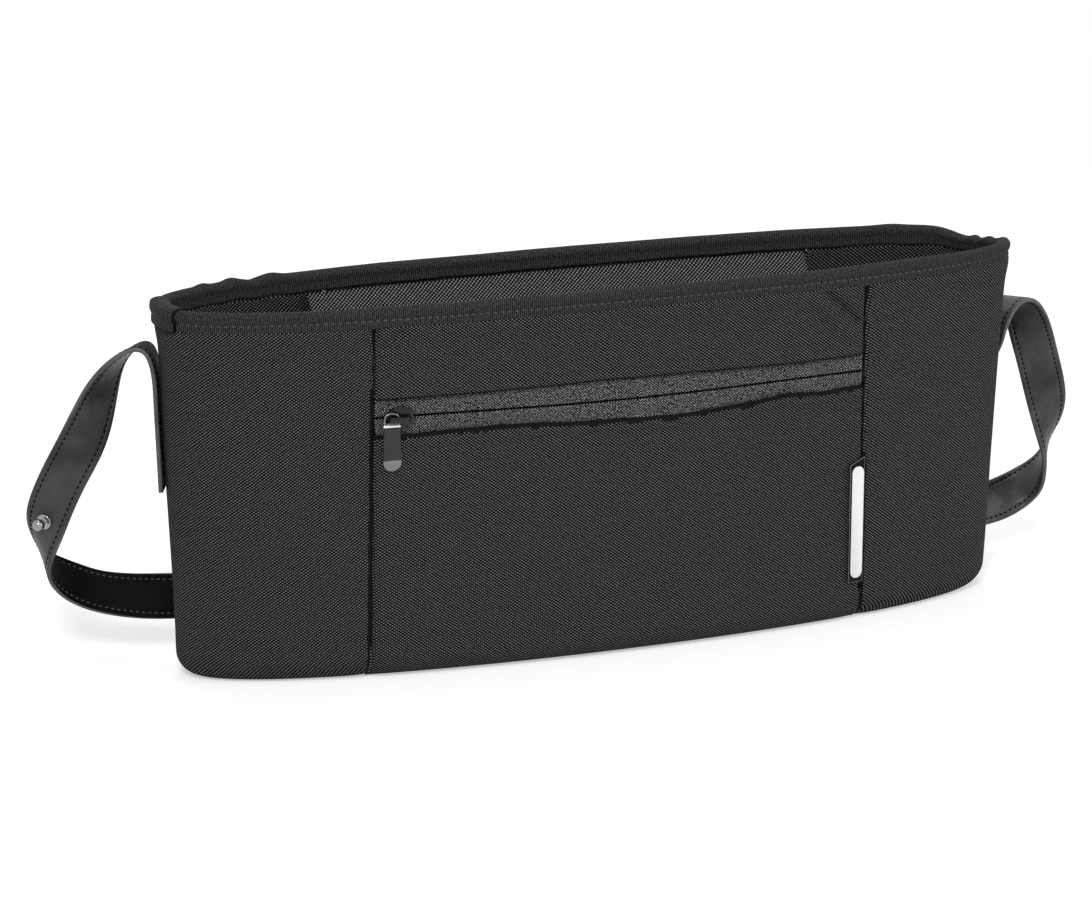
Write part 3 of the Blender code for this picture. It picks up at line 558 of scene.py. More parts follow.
def thicken(piece: bpy.types.Object, thickness: float, inner: Finish | None = None, rim: bool = False) -> None:
    """Gives a sheet its thickness, inwards from its outer face.

    Args:
        piece: the sheet, with its outer finish in place.
        thickness: in metres.
        inner: finish of the inner face, when it differs.
        rim: whether the edge takes that finish too.
    """
    step = piece.modifiers.new("thickness", "SOLIDIFY")
    step.thickness = thickness
    step.offset = -1
    step.use_even_offset = False
    if inner is not None:
        paint(piece, inner)
        step.material_offset = 1
        step.material_offset_rim = 1 if rim else 0


def ripple(x: float, y: float, size: float, seed: float) -> float:
    """Smooth unevenness from -1 to 1 at a place, with waves of about a size."""
    return noise.noise(Vector((x / size, y / size, seed)))


def bell(distance: float, width: float) -> float:
    """1 at no distance, falling off smoothly over a width."""
    return math.exp(-((distance / width) ** 2))


def sunk(from_seam: float, below_tape: float) -> float:
    """How deep the cloth is drawn in beside a seam, which ends flat under the rim's tape."""
    share = clamp((below_tape + 0.0002) / 0.0015)
    return share * (0.0030 * bell(from_seam, 0.0010) + 0.0012 * bell(from_seam, 0.0052))


def crease(x: float, z: float, start: tuple[float, float], end: tuple[float, float], width: float) -> float:
    """How close a place is to a fold line.

    Args:
        x: across, in metres.
        z: up, in metres.
        start: one end of the line.
        end: its other end.
        width: of the fold.

    Returns:
        1 on the line, fading over the width and past its ends.
    """
    ax, az = start
    dx, dz = end[0] - ax, end[1] - az
    length = math.hypot(dx, dz)
    t = ((x - ax) * dx + (z - az) * dz) / length**2
    off = abs((x - ax) * dz - (z - az) * dx) / length
    past = max(0.0, -t, t - 1) * length
    return bell(off, width) * bell(past, width * 2)


@dataclass(frozen=True)
class Fold:
    """Soft fold or dent along a line of a front panel, negative where it goes in."""

    rise: float
    start: tuple[float, float]
    end: tuple[float, float]
    width: float

    def at(self, x: float, z: float) -> float:
        """How far the cloth stands out at a place because of it."""
        return self.rise * crease(x, z, self.start, self.end, self.width)


LOWER_DENTS = (
    Fold(-0.0013, (0.0, 0.1165), (0.045, 0.1125), 0.0035),
    Fold(-0.0011, (0.1080, 0.028), (0.1110, 0.074), 0.0050),
    Fold(-0.0009, (-0.030, 0.1120), (0.020, 0.1085), 0.0030),
)
PULL_REST = Fold(1.0, (0.1050, 0.1000), (0.1060, 0.1240), 0.0075)
UPPER_FOLDS = (
    Fold(0.0016, (0.0960, 0.1610), (0.1120, 0.1470), 0.0045),
    Fold(-0.0032, (0.1010, 0.1650), (0.1165, 0.1500), 0.0026),
    Fold(-0.0016, (-0.1165, 0.1600), (-0.1080, 0.1665), 0.0018),
)


@dataclass(frozen=True)
class Shell:
    """Outline of the bag in plan, which changes from base to rim, and its seams."""

    height: float = 0.178
    base_length: float = 0.206
    base_depth: float = 0.045
    base_end_power: float = 2.1
    base_side_power: float = 2.0
    rim_length: float = 0.210
    rim_depth: float = 0.044
    rim_end_power: float = 2.5
    rim_side_power: float = 2.8
    edge_radius: float = 0.012
    base_seam: float = 0.124
    rim_seam: float = 0.121
    wall: float = 0.0036
    gap: float = 0.0003
    rim_foot: float = 0.0093
    tucked: float = 0.0058

    def sizes(self, z: float, inset: float) -> tuple[float, float, float, float]:
        """Half length, half depth and exponents of the outline at a height, inside its outer face."""
        up = min(max(z / self.height, 0.0), 1.0)
        rest = min(max(0.0, self.edge_radius - z), self.edge_radius)
        roll = self.edge_radius - math.sqrt(self.edge_radius**2 - rest**2)
        return (
            self.base_length + (self.rim_length - self.base_length) * up - roll - inset,
            self.base_depth + (self.rim_depth - self.base_depth) * up - roll - inset,
            self.base_end_power + (self.rim_end_power - self.base_end_power) * up,
            self.base_side_power + (self.rim_side_power - self.base_side_power) * up,
        )

    def under_rim(self, z: float) -> float:
        """How far the padded cloth swells out just below the rim's tape, which holds it in."""
        below = self.height - self.rim_foot - z
        if below < 0:
            return 0.0011 * max(0.0, 1 + below / 0.0008)
        return 0.0011 * bell(max(0.0, below - 0.0015), 0.0075)

    def wall_y(self, x: float, z: float, inset: float) -> float:
        """Distance of the long side from the middle plane."""
        length, depth, end_power, side_power = self.sizes(z, inset)
        share = max(0.0, 1 - abs(x / length) ** end_power)
        return depth * share ** (1 / side_power)

    def point(self, angle: float, z: float, inset: float) -> tuple[float, float, float]:
        """Point of the outline at an angle round it, from the right end."""
        length, depth, end_power, side_power = self.sizes(z, inset)
        along, across = math.cos(angle), math.sin(angle)
        return (
            math.copysign(abs(along) ** (2 / end_power), along) * length,
            math.copysign(abs(across) ** (2 / side_power), across) * depth,
            z,
        )

    def seam(self, z: float) -> float:
        """Distance of the seams from the middle at a height."""
        return self.base_seam + (self.rim_seam - self.base_seam) * z / self.height

    def even(self, first: float, last: float, count: int, z: float) -> tuple[np.ndarray, np.ndarray]:
        """Angles that divide a stretch of the outline evenly.

        Args:
            first: angle where the stretch starts.
            last: angle where it ends.
            count: number of angles.
            z: height.

        Returns:
            The angles, and the length along the outline at each.
        """
        length, depth, end_power, side_power = self.sizes(z, 0)
        angles = np.linspace(first, last, 1601)
        along, across = np.cos(angles), np.sin(angles)
        x = np.copysign(np.abs(along) ** (2 / end_power), along) * length
        y = np.copysign(np.abs(across) ** (2 / side_power), across) * depth
        run = np.concatenate([[0], np.cumsum(np.hypot(np.diff(x), np.diff(y)))])
        share = np.linspace(0, run[-1], count)
        return np.interp(share, run, angles), share


SHELL = Shell()


@dataclass(frozen=True)
class RimLumps:
    """Rise and fall of the rim, with the lumps where its tape turns the tight bends."""

    wave: float = 0.0005
    lumps: tuple = (
        (2.28, 0.035, 0.0012),
        (2.44, 0.030, 0.0013),
        (2.58, 0.030, 0.0009),
        (2.36, 0.025, -0.0008),
        (0.33, 0.130, -0.0036),
        (0.12, 0.170, -0.0042),
        (0.24, 0.030, 0.0008),
        (0.19, 0.022, -0.0008),
        (0.09, 0.035, 0.0009),
        (0.03, 0.022, -0.0009),
        (6.20, 0.040, 0.0005),
        (0.72, 0.060, 0.0006),
        (4.085, 0.012, -0.0007),
        (5.04, 0.012, -0.0007),
    )

    def lift(self, angle: float, run: float = 0.0) -> float:
        """Height of the rim above its plain line at an angle round the bag.

        Args:
            angle: from the right end, in radians.
            run: length along the rim, for the long wave.

        Returns:
            Metres, negative where the rim dips.
        """
        total = self.wave * ripple(run, 0.0, 0.05, 12.0)
        for at, wide, tall in self.lumps:
            total += tall * bell((angle - at + math.pi) % (2 * math.pi) - math.pi, wide)
        return total


RIM_LUMPS = RimLumps()


@dataclass
class MiddlePanel:
    """Front or back panel between the seams, with the bow, hems and folds of its cloth."""

    name: str
    side: int
    foot: Callable[[float], float]
    top: Callable[[float], float]
    thickness: float
    puff: Callable[[float, float], float]
    columns: int = 260
    rows: int = 120
    from_base: bool = True
    # Places whose faces take the near-black finish as painted shade along a hem.
    hem: Callable[[float, float], bool] | None = None

    def row(self, share: float) -> tuple[np.ndarray, np.ndarray]:
        """Points and cloth coordinates of one row, from the foot to the top."""
        points, places = [], []
        for i in range(self.columns + 1):
            u = 2 * i / self.columns - 1
            low, high = self.foot(u * SHELL.seam(SEAM_LEVEL)), self.top(u * SHELL.seam(SEAM_LEVEL))
            z = self.level(low, high, share)
            reach = SHELL.seam(z) - SHELL.gap * 0.6
            x = u * reach
            from_seam = reach - abs(x)
            out = self.puff(x, z) * min(1.0, from_seam / 0.004) + SHELL.under_rim(z)
            out -= sunk(from_seam, SHELL.height - SHELL.rim_foot - z)
            points.append((x, self.side * SHELL.wall_y(x, z, -out), z))
            places.append((x, self.run(z)))
        return np.array(points), np.array(places)

    def level(self, low: float, high: float, share: float) -> float:
        """Height of a row, closer together round the bottom edge."""
        if not self.from_base:
            return low + (high - low) * share
        turned = SHELL.edge_radius * math.pi / 2
        run = share * (turned + high - SHELL.edge_radius)
        if run < turned:
            return SHELL.edge_radius * (1 - math.cos(run / SHELL.edge_radius))
        return run - turned + SHELL.edge_radius

    def run(self, z: float) -> float:
        """Length of cloth from the base to a height."""
        if z >= SHELL.edge_radius:
            return z + SHELL.edge_radius * (math.pi / 2 - 1)
        return SHELL.edge_radius * math.acos(1 - z / SHELL.edge_radius)

    def build(self) -> bpy.types.Object:
        """Makes the panel and stands it in for its solid."""
        piece = drape_grid(self.name, self.columns, self.rows, self.row, inside_out=self.side > 0)
        paint(piece, SHELL_CLOTH)
        thicken(piece, self.thickness, DARK_LINING)
        paint(piece, HEM_SHADE_AND_SEAM_CLOTH, DARK_LINING)
        # Seam faces take the dark seam colour; faces in a hem band take the same near-black as painted shade.
        for face in piece.data.polygons:
            x, _, z = face.center
            if SHELL.seam(z) - abs(x) < 0.0010 or (self.hem is not None and self.hem(x, z)):
                face.material_index = SHADE_AND_SEAM_SLOT
        return settle(piece, SHELL_CLOTH, "bag", [self.name.removesuffix("_cloth")])


@dataclass
class EndPanel:
    """Padded end of the bag, from the front seam round to the back seam."""

    side: Side
    columns: int = 200
    rows: int = 150
    wave: float = 0.0007

    def row(self, share: float) -> tuple[np.ndarray, np.ndarray]:
        """Points and cloth coordinates of one row."""
        turned = SHELL.edge_radius * math.pi / 2
        top = SHELL.height - SHELL.tucked
        run = share * (turned + top - SHELL.edge_radius)
        z = run - turned + SHELL.edge_radius
        if run < turned:
            z = SHELL.edge_radius * (1 - math.cos(run / SHELL.edge_radius))
        length, _, end_power, _ = SHELL.sizes(z, 0)
        reach = math.acos(((SHELL.seam(z) + SHELL.gap * 0.6) / length) ** (end_power / 2))
        angles, along = SHELL.even(-reach, reach, self.columns + 1, z)
        half = along[-1] / 2
        points, places = [], []
        for angle, length_at in zip(angles, along):
            from_seam = min(length_at, along[-1] - length_at)
            out = self.puff(length_at - half, z) + SHELL.under_rim(z)
            out -= sunk(from_seam, SHELL.height - SHELL.rim_foot - z)
            x, y, high = SHELL.point(float(angle), z, -out)
            round_bag = float(angle) if self.side is Side.RIGHT else math.pi - float(angle)
            high += min(0.0, RIM_LUMPS.lift(round_bag)) * max(0.0, (z - 0.13) / 0.048) ** 2
            points.append((self.side.value * x, y, high))
            places.append((length_at - half, run))
        return np.array(points), np.array(places)

    def puff(self, along: float, z: float) -> float:
        """How far the cloth stands out from the plain form."""
        fade = min(1.0, z / 0.02) * min(1.0, (SHELL.height - z) / 0.012)
        broad = ripple(along, z * 0.6, 0.045, 3.0 + self.side.value)
        return fade * self.wave * broad

    def build(self) -> bpy.types.Object:
        """Makes the end and stands it in for its solid."""
        name = f"side_panel_{self.side.name.lower()}"
        piece = drape_grid(
            name + "_cloth",
            self.columns,
            self.rows,
            self.row,
            inside_out=self.side is Side.LEFT,
        )
        paint(piece, SHELL_CLOTH)
        thicken(piece, SHELL.wall, DARK_LINING)
        paint(piece, HEM_SHADE_AND_SEAM_CLOTH, DARK_LINING)
        for face in piece.data.polygons:
            # Seam faces take the dark seam colour.
            if abs(face.center.x) - SHELL.seam(face.center.z) < 0.0007:
                face.material_index = SHADE_AND_SEAM_SLOT
        return settle(piece, SHELL_CLOTH, "bag", [name])


@dataclass(frozen=True)
class ZipLine:
    """How the zip sags between its ends, and how the hems beside it wander."""

    drop: float = 0.0010
    reach: float = 0.105
    hem_at: tuple = (-0.121, -0.064, -0.017, 0.029, 0.060, 0.080, 0.121)
    hem_rise: tuple = (0.0002, 0.0008, 0.0019, 0.0016, 0.0006, 0.0, 0.0)
    edge_at: tuple = (-0.121, -0.100, -0.064, -0.017, 0.029, 0.060, 0.080, 0.101, 0.121)
    edge_reach: tuple = (-0.0004, -0.0004, -0.0018, 0.0, 0.0014, -0.0009, -0.0022, -0.0012, -0.0017)

    def sag(self, x: float) -> float:
        """How far the zip hangs below its straight line."""
        share = min(1.0, abs(x) / self.reach)
        return self.drop * (1 - share * share) ** 2

    def hem(self, x: float) -> float:
        """How far the upper hem stands above its usual height."""
        return float(np.interp(x, self.hem_at, self.hem_rise)) - self.sag(x)

    def edge(self, x: float) -> float:
        """How far the lower panel's edge lies below its usual height."""
        return float(np.interp(x, self.edge_at, self.edge_reach)) + self.sag(x)


ZIP_LINE = ZipLine()


@dataclass
class Body:
    """The bag's walls, base and inner walls."""

    zip_height: float = 0.126
    window_up: float = 0.0083
    window_down: float = 0.0082
    panel: float = 0.0016
    divider_x: float = 0.1255
    divider_thickness: float = 0.002
    bow_left: float = 0.0075
    bow_right: float = -0.0035

    def lower_top(self, x: float) -> float:
        """Upper edge of the lower front panel, which sags and waves along the zip."""
        free = min(1.0, abs(abs(x) - 0.121) / 0.01)
        wave = free * (0.0004 * ripple(x, 0.0, 0.018, 5.1) + 0.0003 * ripple(x, 0.0, 0.006, 5.7))
        return self.zip_height - self.window_down - ZIP_LINE.edge(x) + wave

    def upper_foot(self, x: float) -> float:
        """Lower edge of the upper front panel."""
        return self.zip_height + self.window_up + ZIP_LINE.hem(x) + 0.0002 * ripple(x, 0.0, 0.03, 9.7)

    def lower_puff(self, x: float, z: float) -> float:
        """Relief of the lower front panel: broad slackness, puckers and an edge drawn in to the zip."""
        from_top = self.lower_top(x) - z
        fade = min(1.0, z / 0.02) * clamp(from_top / 0.012)
        broad = 0.0007 * ripple(x, z, 0.05, 1.3) * fade
        pucker = 0.0007 * ripple(x, z * 0.3, 0.011, 2.2) * bell(from_top - 0.005, 0.005)
        swell = 0.0009 * bell(from_top - 0.0042, 0.0030)
        roll = -0.0013 * bell(from_top, 0.0016)
        dents = sum(dent.at(x, z) for dent in LOWER_DENTS)
        pressed = PULL_REST.at(x, z)
        return (broad + pucker + swell) * (1 - pressed) - 0.0005 * pressed + roll + dents

    def painted_hem_shade_band(self, x: float, z: float) -> bool:
        """Whether a place is in the ragged dark band along the lower front panel's top edge, painted shade
        standing for the shadow under its fold.
        """
        rough = 0.0007 * ripple(x, z, 0.004, 31.0) + 0.0006 * ripple(x, 0.0, 0.013, 32.0)
        return self.lower_top(x) - z < 0.0021 + rough

    def painted_hem_line_shade(self, x: float, z: float) -> bool:
        """Whether a place is on the thin painted shade line along the turn of the upper front panel's hem."""
        return z - self.upper_foot(x) < 0.0009

    def upper_puff(self, x: float, z: float) -> float:
        """Relief of the upper front panel: a full rolled hem and the folds at its corners."""
        from_foot = z - self.upper_foot(x)
        roll = 0.0008 * bell(from_foot - 0.0025, 0.0022) - 0.0011 * bell(from_foot, 0.0009)
        broad = 0.0005 * ripple(x, z, 0.035, 7.3) * min(1.0, from_foot / 0.008)
        held = clamp((SHELL.height - SHELL.rim_foot - z) / 0.002)
        return broad + roll + held * sum(fold.at(x, z) for fold in UPPER_FOLDS)

    def back_puff(self, x: float, z: float) -> float:
        """Relief of the back panel."""
        fade = min(1.0, z / 0.02) * min(1.0, (SHELL.height - z) / 0.012)
        return 0.0008 * ripple(x, z, 0.055, 11.0) * fade

    def base(self) -> None:
        """Firm oval base with its cloth."""

        def row(share: float) -> tuple[np.ndarray, np.ndarray]:
            angles, _ = SHELL.even(0, 2 * math.pi, 161, 0)
            ring = np.array([SHELL.point(float(a), 0.0, SHELL.wall + SHELL.gap * 1.2) for a in angles])
            levels = ((0.0, 0.0), (1.0, 0.0), (1.0, 0.003), (0.0, 0.003))
            k = round(share * 3)
            scale, z = levels[k]
            points = ring * (scale, scale, 0) + (0, 0, z)
            return points, points[:, :2]

        piece = drape_grid("base_cloth", 160, 3, row, tube=True)
        edge = piece.modifiers.new("edge", "BEVEL")
        edge.width = 0.0006
        edge.segments = 2
        edge.limit_method = "ANGLE"
        settle(piece, INNER_CLOTH, "bag", ["base_panel"])

    def divider(self, side: Side) -> None:
        """Upright wall between two compartments, with a dipping upper edge."""
        inset = SHELL.wall + SHELL.gap
        x = self.divider_x
        bow = self.bow_left if side is Side.LEFT else self.bow_right

        def row(share: float) -> tuple[np.ndarray, np.ndarray]:
            points, places = [], []
            for i in range(41):
                t = i / 40
                y_share = 2 * t - 1
                top = 0.148 + (0.158 - 0.148) * t
                top -= (top - 0.118) * math.sin(math.pi * t)
                z = 0.0035 + (top - 0.0035) * share
                y = y_share * (SHELL.wall_y(x, z, inset) - 0.0002)
                lean = 0.0012 * ripple(y, z, 0.03, 6.0 + side.value) * math.sin(math.pi * t)
                back = max(0.0, y_share) ** 1.5 * (z / top) * bow
                points.append((side.value * (x + 0.001 + back) + lean, y, z))
                places.append((y, z))
            return np.array(points), np.array(places)

        name = f"divider_{side.name.lower()}"
        piece = drape_grid(name + "_cloth", 40, 60, row, inside_out=side is Side.RIGHT)
        paint(piece, DARK_LINING)
        step = piece.modifiers.new("thickness", "SOLIDIFY")
        step.thickness = self.divider_thickness
        step.offset = -1 if side is Side.LEFT else 1
        step.use_rim = True
        wide, tall = 2 * SHELL.wall_y(x, SEAM_LEVEL, inset), 0.150
        settle(piece, DARK_LINING, "bag", [name])

    def centre_lining(self) -> None:
        """Back wall of the middle compartment, hung from the rim."""
        top = SHELL.height - 0.0113
        near = SHELL.wall + SHELL.gap
        reach = self.divider_x - self.divider_thickness / 2 - SHELL.gap

        def row(share: float) -> tuple[np.ndarray, np.ndarray]:
            z = 0.0036 + (top - 0.0036) * share
            stand = 0.009 * min(1.0, (top - z) / 0.014) ** 0.8
            points, places = [], []
            for i in range(141):
                bow = (self.bow_left if i < 70 else self.bow_right) * 0.9 * z / top
                x = (reach + bow) * (i / 70 - 1)
                wave = 0.0012 * ripple(x, z, 0.05, 8.0) * min(1.0, (top - z) / 0.02)
                y = SHELL.wall_y(x, z, near + stand + wave)
                points.append((x, y, z))
                places.append((x, z))
            return np.array(points), np.array(places)

        piece = drape_grid("centre_lining_cloth", 140, 90, row)
        paint(piece, INNER_CLOTH)
        step = piece.modifiers.new("thickness", "SOLIDIFY")
        step.thickness = 0.0015
        step.offset = 1
        settle(piece, INNER_CLOTH, "bag", ["centre_lining"])

    def pocket_lining(self) -> None:
        """Inner wall of the front pocket."""

        def share_at(z: float) -> float:
            rise = (z - 0.014) / 0.026
            fall = (0.161 - z) / 0.021
            return min(1.0, max(0.02, min(rise, fall)))

        def row(share: float) -> tuple[np.ndarray, np.ndarray]:
            z = 0.0006 + (SHELL.height - SHELL.tucked - 0.0006) * share
            full = share_at(z)
            points, places = [], []
            for i in range(141):
                u = i / 70 - 1
                x = u * (SHELL.seam(z) - SHELL.gap)
                back = SHELL.wall + (0.0098 - SHELL.wall) * full
                near_seam = bell((1 - abs(u)) * 0.12, 0.003)
                wave = 0.0004 * ripple(x, z, 0.04, 4.0) * full * (1 - near_seam)
                points.append((x, -SHELL.wall_y(x, z, back + wave), z))
                places.append((x, z))
            return np.array(points), np.array(places)

        piece = drape_grid("pocket_lining_cloth", 140, 90, row, inside_out=True)
        paint(piece, INNER_CLOTH)
        thicken(piece, 0.0012)
        settle(piece, INNER_CLOTH, "bag", ["pocket_lining"])

    def build(self) -> None:
        """Makes every wall of the bag."""
        top = SHELL.height - SHELL.tucked
        MiddlePanel("back_panel_cloth", 1, lambda x: 0.0, lambda x: top, SHELL.wall, self.back_puff).build()
        MiddlePanel(
            "front_lower_panel_cloth", -1, lambda x: 0.0, self.lower_top, self.panel, self.lower_puff, 320, 140,
            # Faces near the top edge take the near-black finish as painted shade.
            hem=self.painted_hem_shade_band,
        ).build()
        MiddlePanel(
            "front_upper_panel_cloth",
            -1,
            self.upper_foot,
            lambda x: top,
            self.panel,
            self.upper_puff,
            360,
            90,
            from_base=False,
            # A thin line along the hem takes the near-black finish as painted shade.
            hem=self.painted_hem_line_shade,
        ).build()
        for side in Side:
            EndPanel(side).build()
            self.divider(side)
        self.base()
        self.centre_lining()
        self.pocket_lining()


@dataclass
class Stitching:
    """A line of separate lockstitches sunk into a surface."""

    pitch: float = 0.0030
    length: float = 0.0021
    width: float = 0.00055
    rise: float = 0.00012

    def sew(self, name: str, path: np.ndarray, normals: np.ndarray, closed: bool = False) -> bpy.types.Object:
        """Makes the stitches along a path.

        Args:
            name: the piece's name.
            path: points along the seam.
            normals: outward direction of the surface at each.
            closed: whether the path is a ring.

        Returns:
            One object that holds every stitch.
        """
        if closed:
            path = np.vstack([path, path[:1]])
            normals = np.vstack([normals, normals[:1]])
        run = lengths(path)
        bm = bmesh.new()
        for at in np.arange(self.pitch * 0.5, run[-1] - self.length * 0.5, self.pitch):
            here, ahead = (self.read(path, run, at + step) for step in (-self.length / 2, self.length / 2))
            out = Vector(self.read(normals, run, at)).normalized()
            along = (Vector(ahead) - Vector(here)).normalized()
            side = out.cross(along).normalized()
            frame = Matrix((along, side, out)).transposed().to_4x4()
            frame.translation = (Vector(here) + Vector(ahead)) / 2 + out * self.rise
            size = Matrix.Diagonal((self.length / 2, self.width / 2, self.width / 2, 1))
            bmesh.ops.create_icosphere(bm, subdivisions=1, radius=1.0, matrix=frame @ size)
        return publish(name, bm)

    @staticmethod
    def read(values: np.ndarray, run: np.ndarray, at: float) -> np.ndarray:
        """Value of a row of vectors at a length along it."""
        return np.array([np.interp(at, run, values[:, k]) for k in range(3)])


@dataclass
class RimBinding:
    """Ribbed tape folded over the rim, with its joins and two rows of stitches."""

    height: float = SHELL.rim_foot
    thickness: float = 0.0009
    round: float = 0.0024
    columns: int = 56
    rows: int = 1100
    stitch_up: float = 0.0035

    def profile(self, swell: float = 0.0) -> list[tuple[float, float]]:
        """Closed section as (inset, depth below the top), starting at the outer foot.

        The tape is drawn in along the stitches, with a flat foot below them and a padded roll above.
        """
        wall, thick, foot = SHELL.wall, self.thickness, self.height
        side = (
            (thick * 0.78, foot),
            (thick * 0.86, foot * 0.74),
            (thick * 0.40, foot * 0.63),
            (thick * 0.42, foot * 0.60),
            (thick * 1.15, foot * 0.52),
            (thick * 1.60, foot * 0.37),
            (thick * 1.50, foot * 0.22),
        )
        outer_skin = [(-out - swell, below) for out, below in side]
        middle, half = wall / 2, wall / 2 + thick * 1.35 + swell
        for degrees in range(15, 166, 15):
            angle = math.radians(degrees)
            outer_skin.append((middle - half * math.cos(angle), self.round * (1 - math.sin(angle)) - swell))
        outer_skin += [(wall + max(out, thick * 0.95) + swell, below) for out, below in reversed(side)]
        skin = SHELL.gap * 0.4
        inner_skin = [(wall + skin, foot), (wall + skin, 0.0024), (-skin, 0.0024), (-skin, foot)]
        return outer_skin + inner_skin

    def section(self, swell: float = 0.0) -> tuple[np.ndarray, np.ndarray]:
        """The profile at even steps, with the length along it."""
        corners = np.array(self.profile(swell) + self.profile(swell)[:1])
        run = lengths(corners)
        at = np.linspace(0, run[-1], self.columns + 1)
        return np.column_stack([np.interp(at, run, corners[:, k]) for k in range(2)]), at

    def wrap(self, name: str, first: float, last: float, rows: int, swell: float, ring: bool) -> bpy.types.Object:
        """Lays a stretch of the tape round the rim.

        Args:
            name: the piece's name.
            first: angle where it starts.
            last: angle where it ends.
            rows: number of sections.
            swell: how far it stands off the first layer.
            ring: whether it closes on itself.

        Returns:
            The new object.
        """
        angles, runs = SHELL.even(first, last, rows + 1, SHELL.height)
        section, at = self.section(swell)

        def row(share: float) -> tuple[np.ndarray, np.ndarray]:
            k = round(share * rows)
            run = float(runs[k])
            met = 0 if ring and k == rows else k
            angle, run_place = float(angles[met]), float(runs[met])
            points, places = [], []
            for (inset, below), across in zip(section, at):
                jog = 0.00018 * ripple(run_place, across, 0.012, 20.0)
                edge = 0.0004 * ripple(run_place, 0.0, 0.02, 21.0 if inset < 0.002 else 22.0)
                foot = edge * below / self.height
                rise = RIM_LUMPS.lift(angle, run_place)
                z = SHELL.height - below + foot + rise * (1 - 0.55 * below / self.height)
                full = 0.00035 * ripple(run_place, 0.0, 0.008, 23.0) * bell(below - 0.0034, 0.002)
                side = math.copysign(1.0, inset - SHELL.wall / 2)
                x, y, _ = SHELL.point(angle, SHELL.height, inset + jog + side * full)
                points.append((x, y, min(z, SHELL.height + 0.0018)))
                places.append((run, across))
            return np.array(points), np.array(places)

        return drape_grid(name, self.columns, rows, row, ring=ring, tube=True)

    def stitches(self) -> None:
        """Rows of stitches outside and inside."""
        angles, _ = SHELL.even(0, 2 * math.pi, 1201, SHELL.height)
        z = SHELL.height - self.height + self.stitch_up
        out = self.thickness * 0.42
        seams = (
            ("rim_stitches_outer", -out, 1, RIM_THREAD),
            ("rim_stitches_inner", SHELL.wall + out, -1, DARK_THREAD),
        )
        for name, inset, way, finish in seams:
            path = np.array([SHELL.point(float(angle), z, inset) for angle in angles[:-1]])
            rises = [RIM_LUMPS.lift(float(angle)) for angle in angles[:-1]]
            path[:, 2] = z + 0.45 * np.array(rises)
            tangent = np.roll(path, -1, axis=0) - np.roll(path, 1, axis=0)
            normals = np.column_stack([tangent[:, 1], -tangent[:, 0], 0 * tangent[:, 0]]) * way
            piece = Stitching(0.0034, 0.0025, 0.0010, 0.0).sew(name, path, normals, closed=True)
            settle(piece, finish, "bag")

    def build(self) -> None:
        """Makes the tape, its overlaps and its stitches."""
        tape = self.wrap("rim_binding_tape", 0, 2 * math.pi, self.rows, 0.0, True)
        settle(tape, RIM_TAPE, "bag", ["rim_binding"])
        lap = self.wrap("rim_binding_lap", math.pi - 0.10, math.pi + 0.235, 60, 0.0015, False)
        close_ends(lap)
        settle(lap, RIM_TAPE, "bag")
        self.stitches()


@dataclass
class ZipPlace:
    """The arc that the zip follows."""

    height: float = 0.126

    def radius(self) -> float:
        """Radius of the arc in plan."""
        seam = SHELL.seam(self.height)
        bow = SHELL.wall_y(0, self.height, 0) - SHELL.wall_y(seam, self.height, 0)
        return (seam**2 + bow**2) / (2 * bow)

    def point(self, along: float, depth: float, up: float) -> tuple[float, float, float]:
        """Point at a length along the zip, a depth behind the face and a height above the zip."""
        radius = self.radius()
        turn = along / radius
        y = radius - SHELL.wall_y(0, self.height, 0) - (radius - depth) * math.cos(turn)
        return ((radius - depth) * math.sin(turn), y, self.height + up - ZIP_LINE.sag(along))


